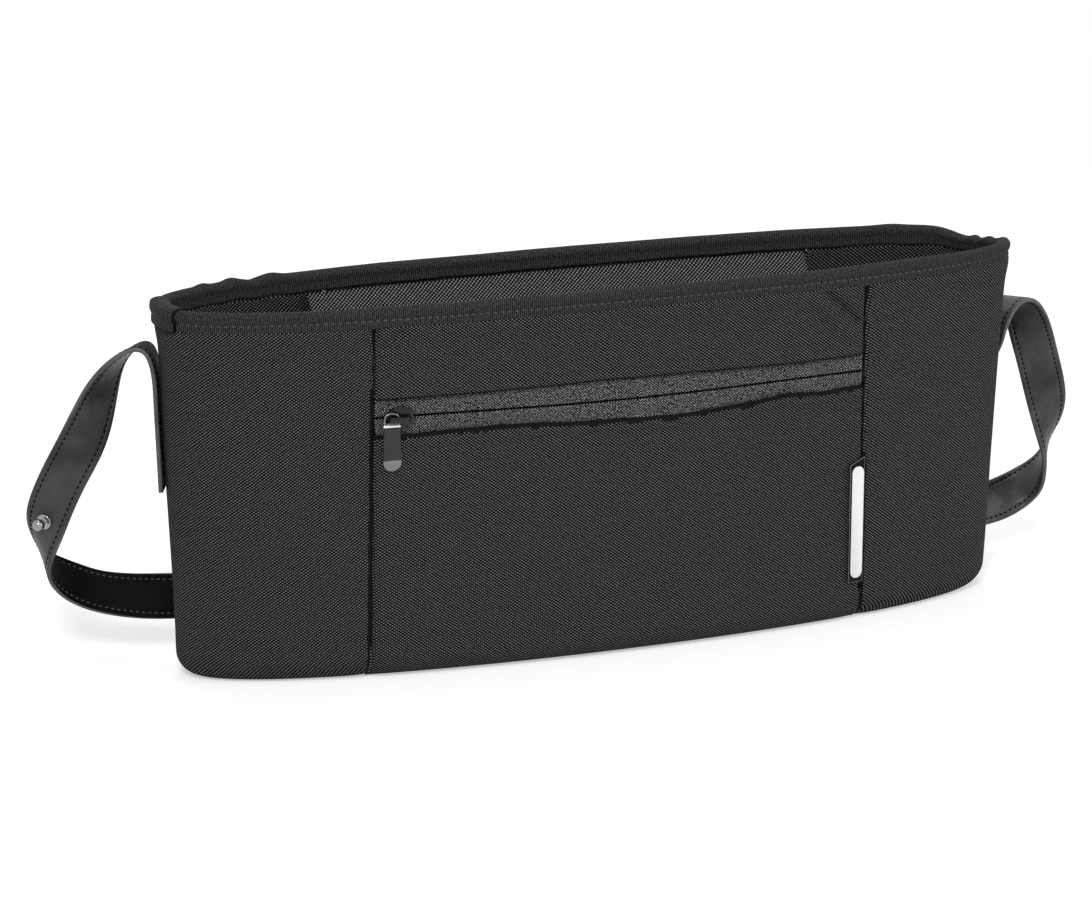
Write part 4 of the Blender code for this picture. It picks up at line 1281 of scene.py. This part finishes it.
@dataclass
class Zip:
    """Tapes and coils of the front zip."""

    place: ZipPlace = field(default_factory=ZipPlace)
    tape_depth: float = 0.0023
    tape_thickness: float = 0.0006
    tape_reach: float = 0.013
    channel: float = 0.00045
    coil_pitch: float = 0.00135
    coil_width: float = 0.0021
    coil_thickness: float = 0.0016
    wire: float = 0.00028

    def tape(self, side: int) -> None:
        """One half of the tape, upper or lower, turned down at its middle edge."""
        reach = SHELL.seam(self.place.height) - 0.0009

        def row(share: float) -> tuple[np.ndarray, np.ndarray]:
            points, places = [], []
            up = self.channel + (self.tape_reach - self.channel) * share
            for i in range(301):
                along = reach * (i / 150 - 1)
                wave = 0.00015 * ripple(along, up, 0.012, 15.0 + side)
                ridge = -0.00012 * bell(up - 0.0011, 0.0005)
                turned = 0.00035 * bell(up - self.channel, 0.0004)
                points.append(self.place.point(along, self.tape_depth + wave + ridge + turned, side * up))
                places.append((along, up))
            return np.array(points), np.array(places)

        name = "zip_tape_upper" if side > 0 else "zip_tape_lower"
        piece = drape_grid(name + "_cloth", 300, 28, row, inside_out=side < 0)
        paint(piece, ZIP_CLOTH)
        thicken(piece, self.tape_thickness * 0.8)
        settle(piece, ZIP_CLOTH, "bag", [name])

    def coil(self, side: int) -> None:
        """One row of coil: a flattened nylon helix under the tape."""
        reach = SHELL.seam(self.place.height) - 0.0045
        back = self.tape_depth + self.tape_thickness + 0.0003 + self.wire
        turns = int(2 * reach / self.coil_pitch)
        start = self.coil_pitch / 2 if side > 0 else 0.0
        curve = bpy.data.curves.new("coil_path", "CURVE")
        curve.dimensions = "3D"
        curve.bevel_depth = self.wire
        curve.bevel_resolution = 1
        curve.use_fill_caps = True
        line = curve.splines.new("POLY")
        steps = 10
        line.points.add(turns * steps - 1)
        half_wide, half_thick = self.coil_width / 2, (self.coil_thickness - 2 * self.wire) / 2
        middle = 0.0008 + half_wide
        for k, point in enumerate(line.points):
            angle = 2 * math.pi * k / steps
            along = start - reach + k / steps * self.coil_pitch
            up = side * (middle - half_wide * math.cos(angle))
            depth = back + half_thick - half_thick * math.sin(angle)
            point.co = (*self.place.point(along, depth, up), 1)
        helper = add_object("coil_path", curve)
        bpy.context.view_layer.update()
        name = "zip_coil_upper" if side > 0 else "zip_coil_lower"
        mesh = bpy.data.meshes.new_from_object(helper.evaluated_get(bpy.context.evaluated_depsgraph_get()))
        mesh.name = name + "_wire"
        bpy.data.objects.remove(helper, do_unlink=True)
        mesh.materials.clear()
        mesh.shade_smooth()
        settle(add_object(name + "_wire", mesh), NYLON, "bag", [name])

    def build(self) -> None:
        """Makes both tapes and both coils."""
        for side in (1, -1):
            self.tape(side)
            self.coil(side)


@dataclass(frozen=True)
class Casting:
    """A rigid solid redrawn with softened edges."""

    node: str
    body: str
    finish: Finish
    edge: float
    segments: int = 2
    angle: float = 28.0
    tip: Finish | None = None
    # Finish of the bevel faces: a lighter colour as painted highlight along the rounded edges.
    edge_highlight: Finish | None = None

    def build(self) -> bpy.types.Object:
        """Merges a copy of the solid, rounds its edges and stands it in for the solid."""
        source = bpy.data.objects[self.node]
        bm = bmesh.new()
        bm.from_mesh(source.data)
        bmesh.ops.remove_doubles(bm, verts=bm.verts[:], dist=2e-6)
        bmesh.ops.dissolve_limit(bm, angle_limit=math.radians(2), verts=bm.verts[:], edges=bm.edges[:])
        piece = publish(self.node + "_finished", bm)
        piece.data.materials.clear()
        if self.tip is not None:
            paint(piece, self.finish, self.tip)
            for face in piece.data.polygons:
                face.material_index = int(face.normal.y < -0.3 and face.normal.z < -0.05)
        rounded = piece.modifiers.new("edges", "BEVEL")
        rounded.width = self.edge
        rounded.segments = self.segments
        rounded.limit_method = "ANGLE"
        rounded.angle_limit = math.radians(self.angle)
        rounded.harden_normals = True
        # The bevel faces take the lighter colour as painted highlight.
        if self.edge_highlight is not None:
            paint(piece, self.finish, self.edge_highlight)
            rounded.material = 1
        return settle(piece, self.finish, self.body, [self.node])


@dataclass(frozen=True)
class PullBar:
    """Polished bar across the head of the pull, on the hinge that the pull swings about."""

    middle: tuple[float, float, float] = (-0.1141132, -0.0416395, 0.123)
    along: tuple[float, float, float] = (-0.9966168, 0.0821877, 0.0)
    length: float = 0.0080
    radius: float = 0.00074

    def build(self) -> None:
        """Makes the bar, with rounded ends."""
        bm = bmesh.new()
        bmesh.ops.create_cone(
            bm, cap_ends=True, segments=24, radius1=self.radius, radius2=self.radius, depth=self.length
        )
        ends = [edge for edge in bm.edges if len({round(vert.co.z, 6) for vert in edge.verts}) == 1]
        bmesh.ops.bevel(
            bm, geom=ends, offset=self.radius * 0.5, segments=3, profile=0.5, affect="EDGES", material=-1
        )
        turn = Vector((0, 0, 1)).rotation_difference(Vector(self.along)).to_matrix().to_4x4()
        bmesh.ops.transform(bm, matrix=Matrix.Translation(self.middle) @ turn, verts=bm.verts[:])
        settle(publish("pull_bar", bm), POLISHED_BAR, "pull")


@dataclass(frozen=True)
class StrapRoute:
    """Where one strap runs, from its sewn tab to its end on the back panel."""

    side: Side
    arch_from: float
    tab_turn: float
    route: tuple


LEFT_ROUTE = StrapRoute(
    Side.LEFT,
    0.146,
    0.0,
    (
        ((0.0036, 0.0031, 0.0398), (-0.34, 0.94, -0.04)),
        ((0.0152, 0.0083, 0.0332), (-0.32, 0.89, -0.31)),
        ((0.0240, 0.0114, 0.0172), (-0.64, 0.52, -0.57)),
        ((0.0286, 0.0132, 0.0030), (-0.79, 0.19, -0.58)),
        ((0.0336, 0.0150, -0.0098), (-0.81, -0.21, -0.55)),
        ((0.0396, 0.0172, -0.0210), (-0.78, -0.41, -0.47)),
        ((0.0449, 0.0191, -0.0323), (-0.79, -0.43, -0.44)),
        ((0.0485, 0.0204, -0.0412), (-0.83, -0.53, -0.18)),
        ((0.0508, 0.0253, -0.0563), (-0.37, -0.92, -0.13)),
        ((0.0491, 0.0306, -0.0706), (0.20, -0.94, -0.27)),
        ((0.0399, 0.0345, -0.0788), (0.12, -0.71, -0.69)),
        ((0.0292, 0.0330, -0.0851), (0.26, -0.70, -0.66)),
        ((0.0109, 0.0265, -0.0885), (0.20, -0.55, -0.81)),
        ((-0.0050, 0.0200, -0.0885), (0.08, -0.30, -0.95)),
        ((-0.0180, 0.0166, -0.0882), (0.00, -0.10, -1.00)),
    ),
)
RIGHT_ROUTE = StrapRoute(
    Side.RIGHT,
    0.122,
    math.radians(17),
    (
        ((0.0028, 0.0012, 0.0110), (-0.34, 0.94, 0.00)),
        ((0.0106, 0.0056, 0.0207), (-0.29, 0.95, -0.08)),
        ((0.0214, 0.0105, 0.0222), (-0.29, 0.95, -0.10)),
        ((0.0302, 0.0137, 0.0060), (-0.70, 0.58, -0.41)),
        ((0.0359, 0.0158, -0.0083), (-0.93, 0.24, -0.29)),
        ((0.0421, 0.0181, -0.0254), (-0.94, 0.28, -0.19)),
        ((0.0462, 0.0196, -0.0385), (-1.00, -0.03, 0.06)),
        ((0.0471, 0.0199, -0.0503), (-0.82, -0.45, 0.30)),
        ((0.0476, 0.0215, -0.0610), (-0.52, -0.80, 0.25)),
        ((0.0485, 0.0244, -0.0709), (-0.31, -0.94, -0.14)),
        ((0.0469, 0.0278, -0.0780), (-0.18, -0.78, -0.60)),
        ((0.0378, 0.0311, -0.0865), (-0.10, -0.70, -0.71)),
        ((0.0256, 0.0300, -0.0910), (-0.12, -0.53, -0.83)),
        ((0.0100, 0.0255, -0.0912), (-0.08, -0.36, -0.93)),
        ((-0.0050, 0.0200, -0.0900), (-0.04, -0.20, -0.98)),
        ((-0.0180, 0.0166, -0.0885), (0.00, -0.08, -1.00)),
    ),
)


@dataclass
class Strap:
    """Leatherette strap: two layers sewn together near both edges."""

    run: StrapRoute
    width: float = 0.0215
    thickness: float = 0.0023
    rows: int = 420
    tab_from: float = 0.090
    tab_to: float = 0.118
    tab_yaw: float = math.radians(20)
    back_from: float = 0.173
    back_to: float = 0.136
    back_height: float = 0.030
    stitch_inset: float = 0.0029
    softness: float = 0.0065

    def tab_point(self, z: float, turn: float = 0.0) -> tuple[Vector, Vector]:
        """Where the end of the bag faces the tab's way, turned towards the back, and that direction."""
        facing = Vector((math.cos(self.tab_yaw + turn), math.sin(self.tab_yaw + turn), 0))
        points = [Vector(SHELL.point(float(angle), z, 0)) for angle in np.linspace(0, 1.2, 481)]
        return max(points, key=lambda point: point.dot(facing)), facing

    def stations(self) -> list[tuple[Vector, Vector]]:
        """Middle and width direction of the strap at each station."""
        lift = SHELL.gap + 0.0012
        found = []
        arch = self.run.arch_from
        heights = (
            self.tab_from,
            (self.tab_from + self.tab_to) / 2,
            self.tab_to,
            self.tab_to + (arch - self.tab_to) * 0.6,
            arch,
        )
        for z in heights:
            share = clamp((arch - z) / (arch - self.tab_to))
            point, facing = self.tab_point(z, self.run.tab_turn * share)
            found.append((point + facing * lift, Vector((-facing.y, facing.x, 0))))
        point, facing = self.tab_point(self.tab_to)
        top = point + facing * lift
        for offset, width in self.run.route:
            found.append((top + Vector(offset), Vector(width)))
        for x in np.linspace(self.back_from, self.back_to, 5):
            z = self.back_height
            slope = (SHELL.wall_y(x + 0.0003, z, 0) - SHELL.wall_y(x - 0.0003, z, 0)) / 0.0006
            facing = Vector((-slope, 1, 0)).normalized()
            point = Vector((x, SHELL.wall_y(x, z, 0), z))
            found.append((point + facing * (lift + SHELL.gap), Vector((0, 0, -1))))
        side = self.run.side.value
        return [(Vector((side * p.x, p.y, p.z)), Vector((side * w.x, w.y, w.z))) for p, w in found]

    @staticmethod
    def smooth(values: np.ndarray, at: np.ndarray, knots: np.ndarray) -> np.ndarray:
        """Smooth curve through values at knots, read at other places."""
        slopes = np.gradient(values, knots, axis=0)
        cell = np.clip(np.searchsorted(knots, at, side="right") - 1, 0, len(knots) - 2)
        span = (knots[cell + 1] - knots[cell])[:, None]
        t = (at - knots[cell])[:, None] / span
        return (
            (2 * t**3 - 3 * t**2 + 1) * values[cell]
            + (t**3 - 2 * t**2 + t) * slopes[cell] * span
            + (3 * t**2 - 2 * t**3) * values[cell + 1]
            + (t**3 - t**2) * slopes[cell + 1] * span
        )

    def frames(self, count: int) -> tuple[np.ndarray, np.ndarray, np.ndarray, np.ndarray]:
        """Lengths, middles, width directions and inner-face directions along the strap."""
        stations = self.stations()
        middles = np.array([middle for middle, _ in stations])
        knots = lengths(middles)
        at = np.linspace(0, knots[-1], count)
        centres = self.smooth(middles, at, knots)
        widths = self.smooth(np.array([width for _, width in stations]), at, knots)
        centres, widths = self.relax(centres, at), self.relax(widths, at)
        along = np.gradient(centres, axis=0)
        along /= np.linalg.norm(along, axis=1)[:, None]
        widths -= along * (widths * along).sum(1)[:, None]
        widths /= np.linalg.norm(widths, axis=1)[:, None]
        return at, centres, widths, np.cross(widths, along) * self.run.side.value

    def relax(self, values: np.ndarray, at: np.ndarray) -> np.ndarray:
        """Evens out the free part of the strap, and leaves its sewn ends as they are."""
        step = at[1] - at[0]
        reach = max(1, int(self.softness * 3 / step))
        weights = np.exp(-0.5 * (np.arange(-reach, reach + 1) * step / self.softness) ** 2)
        weights /= weights.sum()
        padded = np.pad(values, ((reach, reach), (0, 0)), mode="edge")
        even = np.column_stack([np.convolve(padded[:, k], weights, mode="valid") for k in range(values.shape[1])])
        share = np.clip(np.minimum(at - 0.034, at[-1] - 0.052 - at) / 0.020, 0, 1)[:, None]
        return values + (even - values) * share

    def section(self) -> np.ndarray:
        """Closed section as (across, out), with rounded edges and a faint ridge outside the stitches."""
        wide, thick = self.width / 2, self.thickness / 2
        points = []
        seam = wide - self.stitch_inset
        spots = [seam * k / 6 for k in range(-5, 6)]
        ends = [seam - 0.0006, seam, seam + 0.0006, seam + 0.0012]
        for across in [-end for end in reversed(ends)] + spots + ends:
            dip = 0.00040 * bell(abs(across) - seam, 0.0005)
            points.append((across, thick - dip))
        for degrees in (60, 30, 0, -30, -60):
            angle = math.radians(degrees)
            points.append((wide - thick * 0.8 + thick * 0.8 * math.cos(angle), thick * math.sin(angle)))
        back = [(-across, -out) for across, out in points]
        return np.array(points + back + points[:1])

    def build(self) -> None:
        """Makes the strap, its ends and its four rows of stitches."""
        at, centres, widths, inner = self.frames(self.rows + 1)
        section = self.section()
        girth = lengths(section)

        def row(share: float) -> tuple[np.ndarray, np.ndarray]:
            k = round(share * self.rows)
            across = section[:, :1] * widths[k][None, :]
            points = centres[k][None, :] + across + section[:, 1:] * inner[k][None, :]
            return points, np.column_stack([girth, np.full(len(girth), at[k])])

        side = self.run.side.name.lower()
        piece = drape_grid(f"strap_{side}_skin", len(section) - 1, self.rows, row, tube=True)
        close_ends(piece)
        # Skin, lighter edge, and the near-black painted shade of the left strap's outer face.
        paint(piece, STRAP_SKIN, STRAP_EDGE_PAINT_AND_HIGHLIGHT, STRAP_PAINTED_SHADE)
        self.mark_faces(piece, centres, widths, inner)
        settle(piece, STRAP_SKIN, "bag", [f"strap_{side}"])
        seam = self.width / 2 - self.stitch_inset
        for face, way in (("inner", 1), ("outer", -1)):
            for edge, sign in (("a", 1), ("b", -1)):
                path = centres + widths * seam * sign + inner * way * (self.thickness / 2 - 0.00012)
                sewn = Stitching(0.0029, 0.0020, 0.0008, -0.00005).sew(
                    f"strap_{side}_stitches_{face}_{edge}", path[4:-4], inner[4:-4] * way
                )
                settle(sewn, PALE_THREAD if way < 0 and self.run.side is Side.LEFT else SEWING_THREAD, "bag")

    def mark_faces(
        self, piece: bpy.types.Object, centres: np.ndarray, widths: np.ndarray, inner: np.ndarray
    ) -> None:
        """Gives the painted edges their lighter finish, which also carries a painted highlight, and the left
        strap's outer face a near-black colour as painted shade.

        Args:
            piece: the strap's mesh.
            centres: middles along the strap.
            widths: width direction at each.
            inner: direction of the inner face at each.
        """
        for face in piece.data.polygons:
            middle = np.array(face.center)
            k = int(np.argmin(((centres - middle) ** 2).sum(1)))
            across = abs(float((middle - centres[k]) @ widths[k]))
            # The edge faces take the lighter edge paint, which also carries a painted highlight.
            if across > self.width / 2 - self.thickness * 0.40:
                face.material_index = EDGE_SLOT
            # Painted shade: the left strap's whole outer face takes the near-black material.
            elif self.run.side is Side.LEFT and float((middle - centres[k]) @ inner[k]) < 0:
                face.material_index = PAINTED_SHADE_SLOT


@dataclass
class Stud:
    """Turned ball stud riveted into the left strap."""

    strap: Strap
    base_radius: float = 0.0037
    base_thickness: float = 0.0009
    waist: float = 0.0013
    ball: float = 0.0028
    height: float = 0.0078

    def build(self) -> None:
        """Turns the stud and seats it on the strap."""
        _, centres, widths, inner = self.strap.frames(240)
        low, high = (np.array(corner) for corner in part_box("stud_left"))
        k = int(np.argmin(((centres - (low + high) / 2) ** 2).sum(1)))
        face, width = Vector(inner[k]), Vector(widths[k])
        frame = Matrix((width, face.cross(width), face)).transposed().to_4x4()
        frame.translation = Vector(centres[k]) + face * (0.0012 + SHELL.gap)
        profile = [(0.0, -0.0004), (self.base_radius * 0.97, -0.0004)]
        for degrees in (-60, -20, 20, 60, 90):
            angle = math.radians(degrees)
            profile.append(
                (self.base_radius - 0.0004 + 0.0004 * math.cos(angle), 0.0005 + 0.0004 * math.sin(angle))
            )
        neck = self.height - 2 * self.ball
        profile += [(self.waist * 1.6, self.base_thickness), (self.waist * 1.1, self.base_thickness * 1.3)]
        profile += [(self.waist, neck * 0.6), (self.waist * 1.05, neck * 0.95)]
        for degrees in range(-55, 90, 12):
            angle = math.radians(degrees)
            profile.append(
                (self.ball * math.cos(angle), self.height - self.ball + self.ball * math.sin(angle))
            )
        profile.append((0.0, self.height))
        bm = bmesh.new()
        verts = [bm.verts.new((radius, 0, high)) for radius, high in profile]
        edges = [bm.edges.new(pair) for pair in zip(verts, verts[1:])]
        bmesh.ops.spin(
            bm, geom=verts + edges, cent=(0, 0, 0), axis=(0, 0, 1), angle=2 * math.pi, steps=48, use_merge=True
        )
        bmesh.ops.remove_doubles(bm, verts=bm.verts[:], dist=1e-6)
        bmesh.ops.recalc_face_normals(bm, faces=bm.faces[:])
        fix_order(bm)
        bmesh.ops.transform(bm, matrix=frame, verts=bm.verts[:])
        settle(publish("stud_left_turned", bm), BRIGHT_METAL, "bag", ["stud_left"])


@dataclass
class Studio:
    """Pale seamless floor, soft lamps and the photograph's camera."""

    lens: float = 116.03
    place: tuple[float, float, float] = (-0.5686, -1.4933, 0.5749)
    ahead: tuple[float, float, float] = (0.3271, 0.8986, -0.2924)
    above: tuple[float, float, float] = (0.0972, 0.2758, 0.9563)
    sensor: float = 36
    world_light: float = 0.30
    floor_half: float = 0.85
    floor_drop: float = 0.0002
    paper: float = 0.82
    paper_glow: float = 0.46
    aim_height: float = 0.08
    lamps: tuple = (
        ("key_lamp", (-0.8, -1.5, 1.6), 0.6, 24),
        ("fill_lamp", (1.5, -1.2, 1.0), 1.2, 13),
        ("top_lamp", (0.1, 0.6, 1.8), 1.2, 9),
    )

    def camera(self) -> None:
        """Sets up the camera at the photograph's angle."""
        data = bpy.data.cameras.new("studio_camera")
        data.lens = self.lens
        data.sensor_width = self.sensor
        data.clip_start = 0.05
        made = add_object("studio_camera", data)
        back = -Vector(self.ahead).normalized()
        right = Vector(self.above).cross(back).normalized()
        turn = Matrix((right, back.cross(right), back)).transposed().to_4x4()
        made.matrix_world = Matrix.Translation(self.place) @ turn
        bpy.context.scene.camera = made

    def lamp(self, name: str, place: tuple, size: float, power: float) -> None:
        """Adds a soft square lamp that faces the bag."""
        data = bpy.data.lights.new(name, "AREA")
        data.energy = power
        data.size = size
        made = add_object(name, data)
        made.location = place
        aim = Vector((0, 0, self.aim_height)) - Vector(place)
        made.rotation_euler = aim.to_track_quat("-Z", "Y").to_euler()

    @staticmethod
    def shown(tree: bpy.types.NodeTree) -> bpy.types.Node:
        """Node that is 1 for what the camera, a reflection or clear matter shows."""
        path = tree.nodes.new("ShaderNodeLightPath")
        last = path.outputs["Is Camera Ray"]
        for kind in ("Is Glossy Ray", "Is Transmission Ray"):
            seen = tree.nodes.new("ShaderNodeMath")
            seen.operation = "MAXIMUM"
            tree.links.new(last, seen.inputs[0])
            tree.links.new(path.outputs[kind], seen.inputs[1])
            last = seen.outputs[0]
        return seen

    def world(self) -> None:
        """White surroundings, brighter to the camera and to reflections than as light."""
        world = bpy.data.worlds.new("studio_world")
        bpy.context.scene.world = world
        world.use_nodes = True
        tree = world.node_tree
        back = tree.nodes["Background"]
        back.inputs["Color"].default_value = (1, 1, 1, 1)
        seen = self.shown(tree)
        level = tree.nodes.new("ShaderNodeMapRange")
        level.inputs["To Min"].default_value = self.world_light
        level.inputs["To Max"].default_value = 1.0
        tree.links.new(seen.outputs[0], level.inputs["Value"])
        tree.links.new(level.outputs["Result"], back.inputs["Strength"])

    def floor(self) -> None:
        """Pale floor that stays white to the camera and keeps the bag's soft shadow."""
        bm = bmesh.new()
        bmesh.ops.create_grid(bm, x_segments=1, y_segments=1, size=self.floor_half)
        bmesh.ops.translate(bm, vec=(0, 0, -self.floor_drop), verts=bm.verts[:])
        floor = publish("studio_floor", bm)
        paper = bpy.data.materials.new("studio_paper")
        paper.use_nodes = True
        tree = paper.node_tree
        shader = tree.nodes["Principled BSDF"]
        shader.inputs["Base Color"].default_value = (self.paper, self.paper, self.paper, 1)
        shader.inputs["Roughness"].default_value = 0.9
        shader.inputs["Specular IOR Level"].default_value = 0.1
        seen = self.shown(tree)
        glow = tree.nodes.new("ShaderNodeMath")
        glow.operation = "MULTIPLY"
        glow.inputs[1].default_value = self.paper_glow
        tree.links.new(seen.outputs[0], glow.inputs[0])
        shader.inputs["Emission Color"].default_value = (1, 1, 1, 1)
        tree.links.new(glow.outputs[0], shader.inputs["Emission Strength"])
        floor.data.materials.append(paper)

    def build(self) -> None:
        """Sets the stage."""
        scene = bpy.context.scene
        scene.view_settings.view_transform = "Standard"
        self.camera()
        self.world()
        self.floor()
        for lamp in self.lamps:
            self.lamp(*lamp)


def main() -> None:
    """Builds the studio and every piece in order."""
    logging.basicConfig(level=logging.INFO, format="%(message)s")
    for old in list(bpy.data.objects):
        bpy.data.objects.remove(old, do_unlink=True)
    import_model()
    Studio().build()
    Body().build()
    RimBinding().build()
    Zip().build()
    # The slider's bevels take a lighter colour as painted highlight.
    Casting("slider_body", "slider", BLACK_METAL, 0.00042, edge_highlight=SLIDER_EDGE_HIGHLIGHT).build()
    Casting("pull_ring", "ring", RING_STEEL, 0.00008, angle=50).build()
    Casting("pull_tab", "pull", GUNMETAL, 0.00018, tip=GROUND_TIP).build()
    PullBar().build()
    # The label tab's bevels take a lighter colour as painted highlight.
    Casting("label_tab", "bag", GLOSS_BLACK, 0.00035, edge_highlight=LABEL_EDGE_HIGHLIGHT).build()
    Casting("label_inlay", "bag", WHITE_INLAY, 0.00015).build()
    for route in (LEFT_ROUTE, RIGHT_ROUTE):
        strap = Strap(route)
        strap.build()
        if route.side is Side.LEFT:
            Stud(strap).build()


if __name__ == "__main__":
    main()
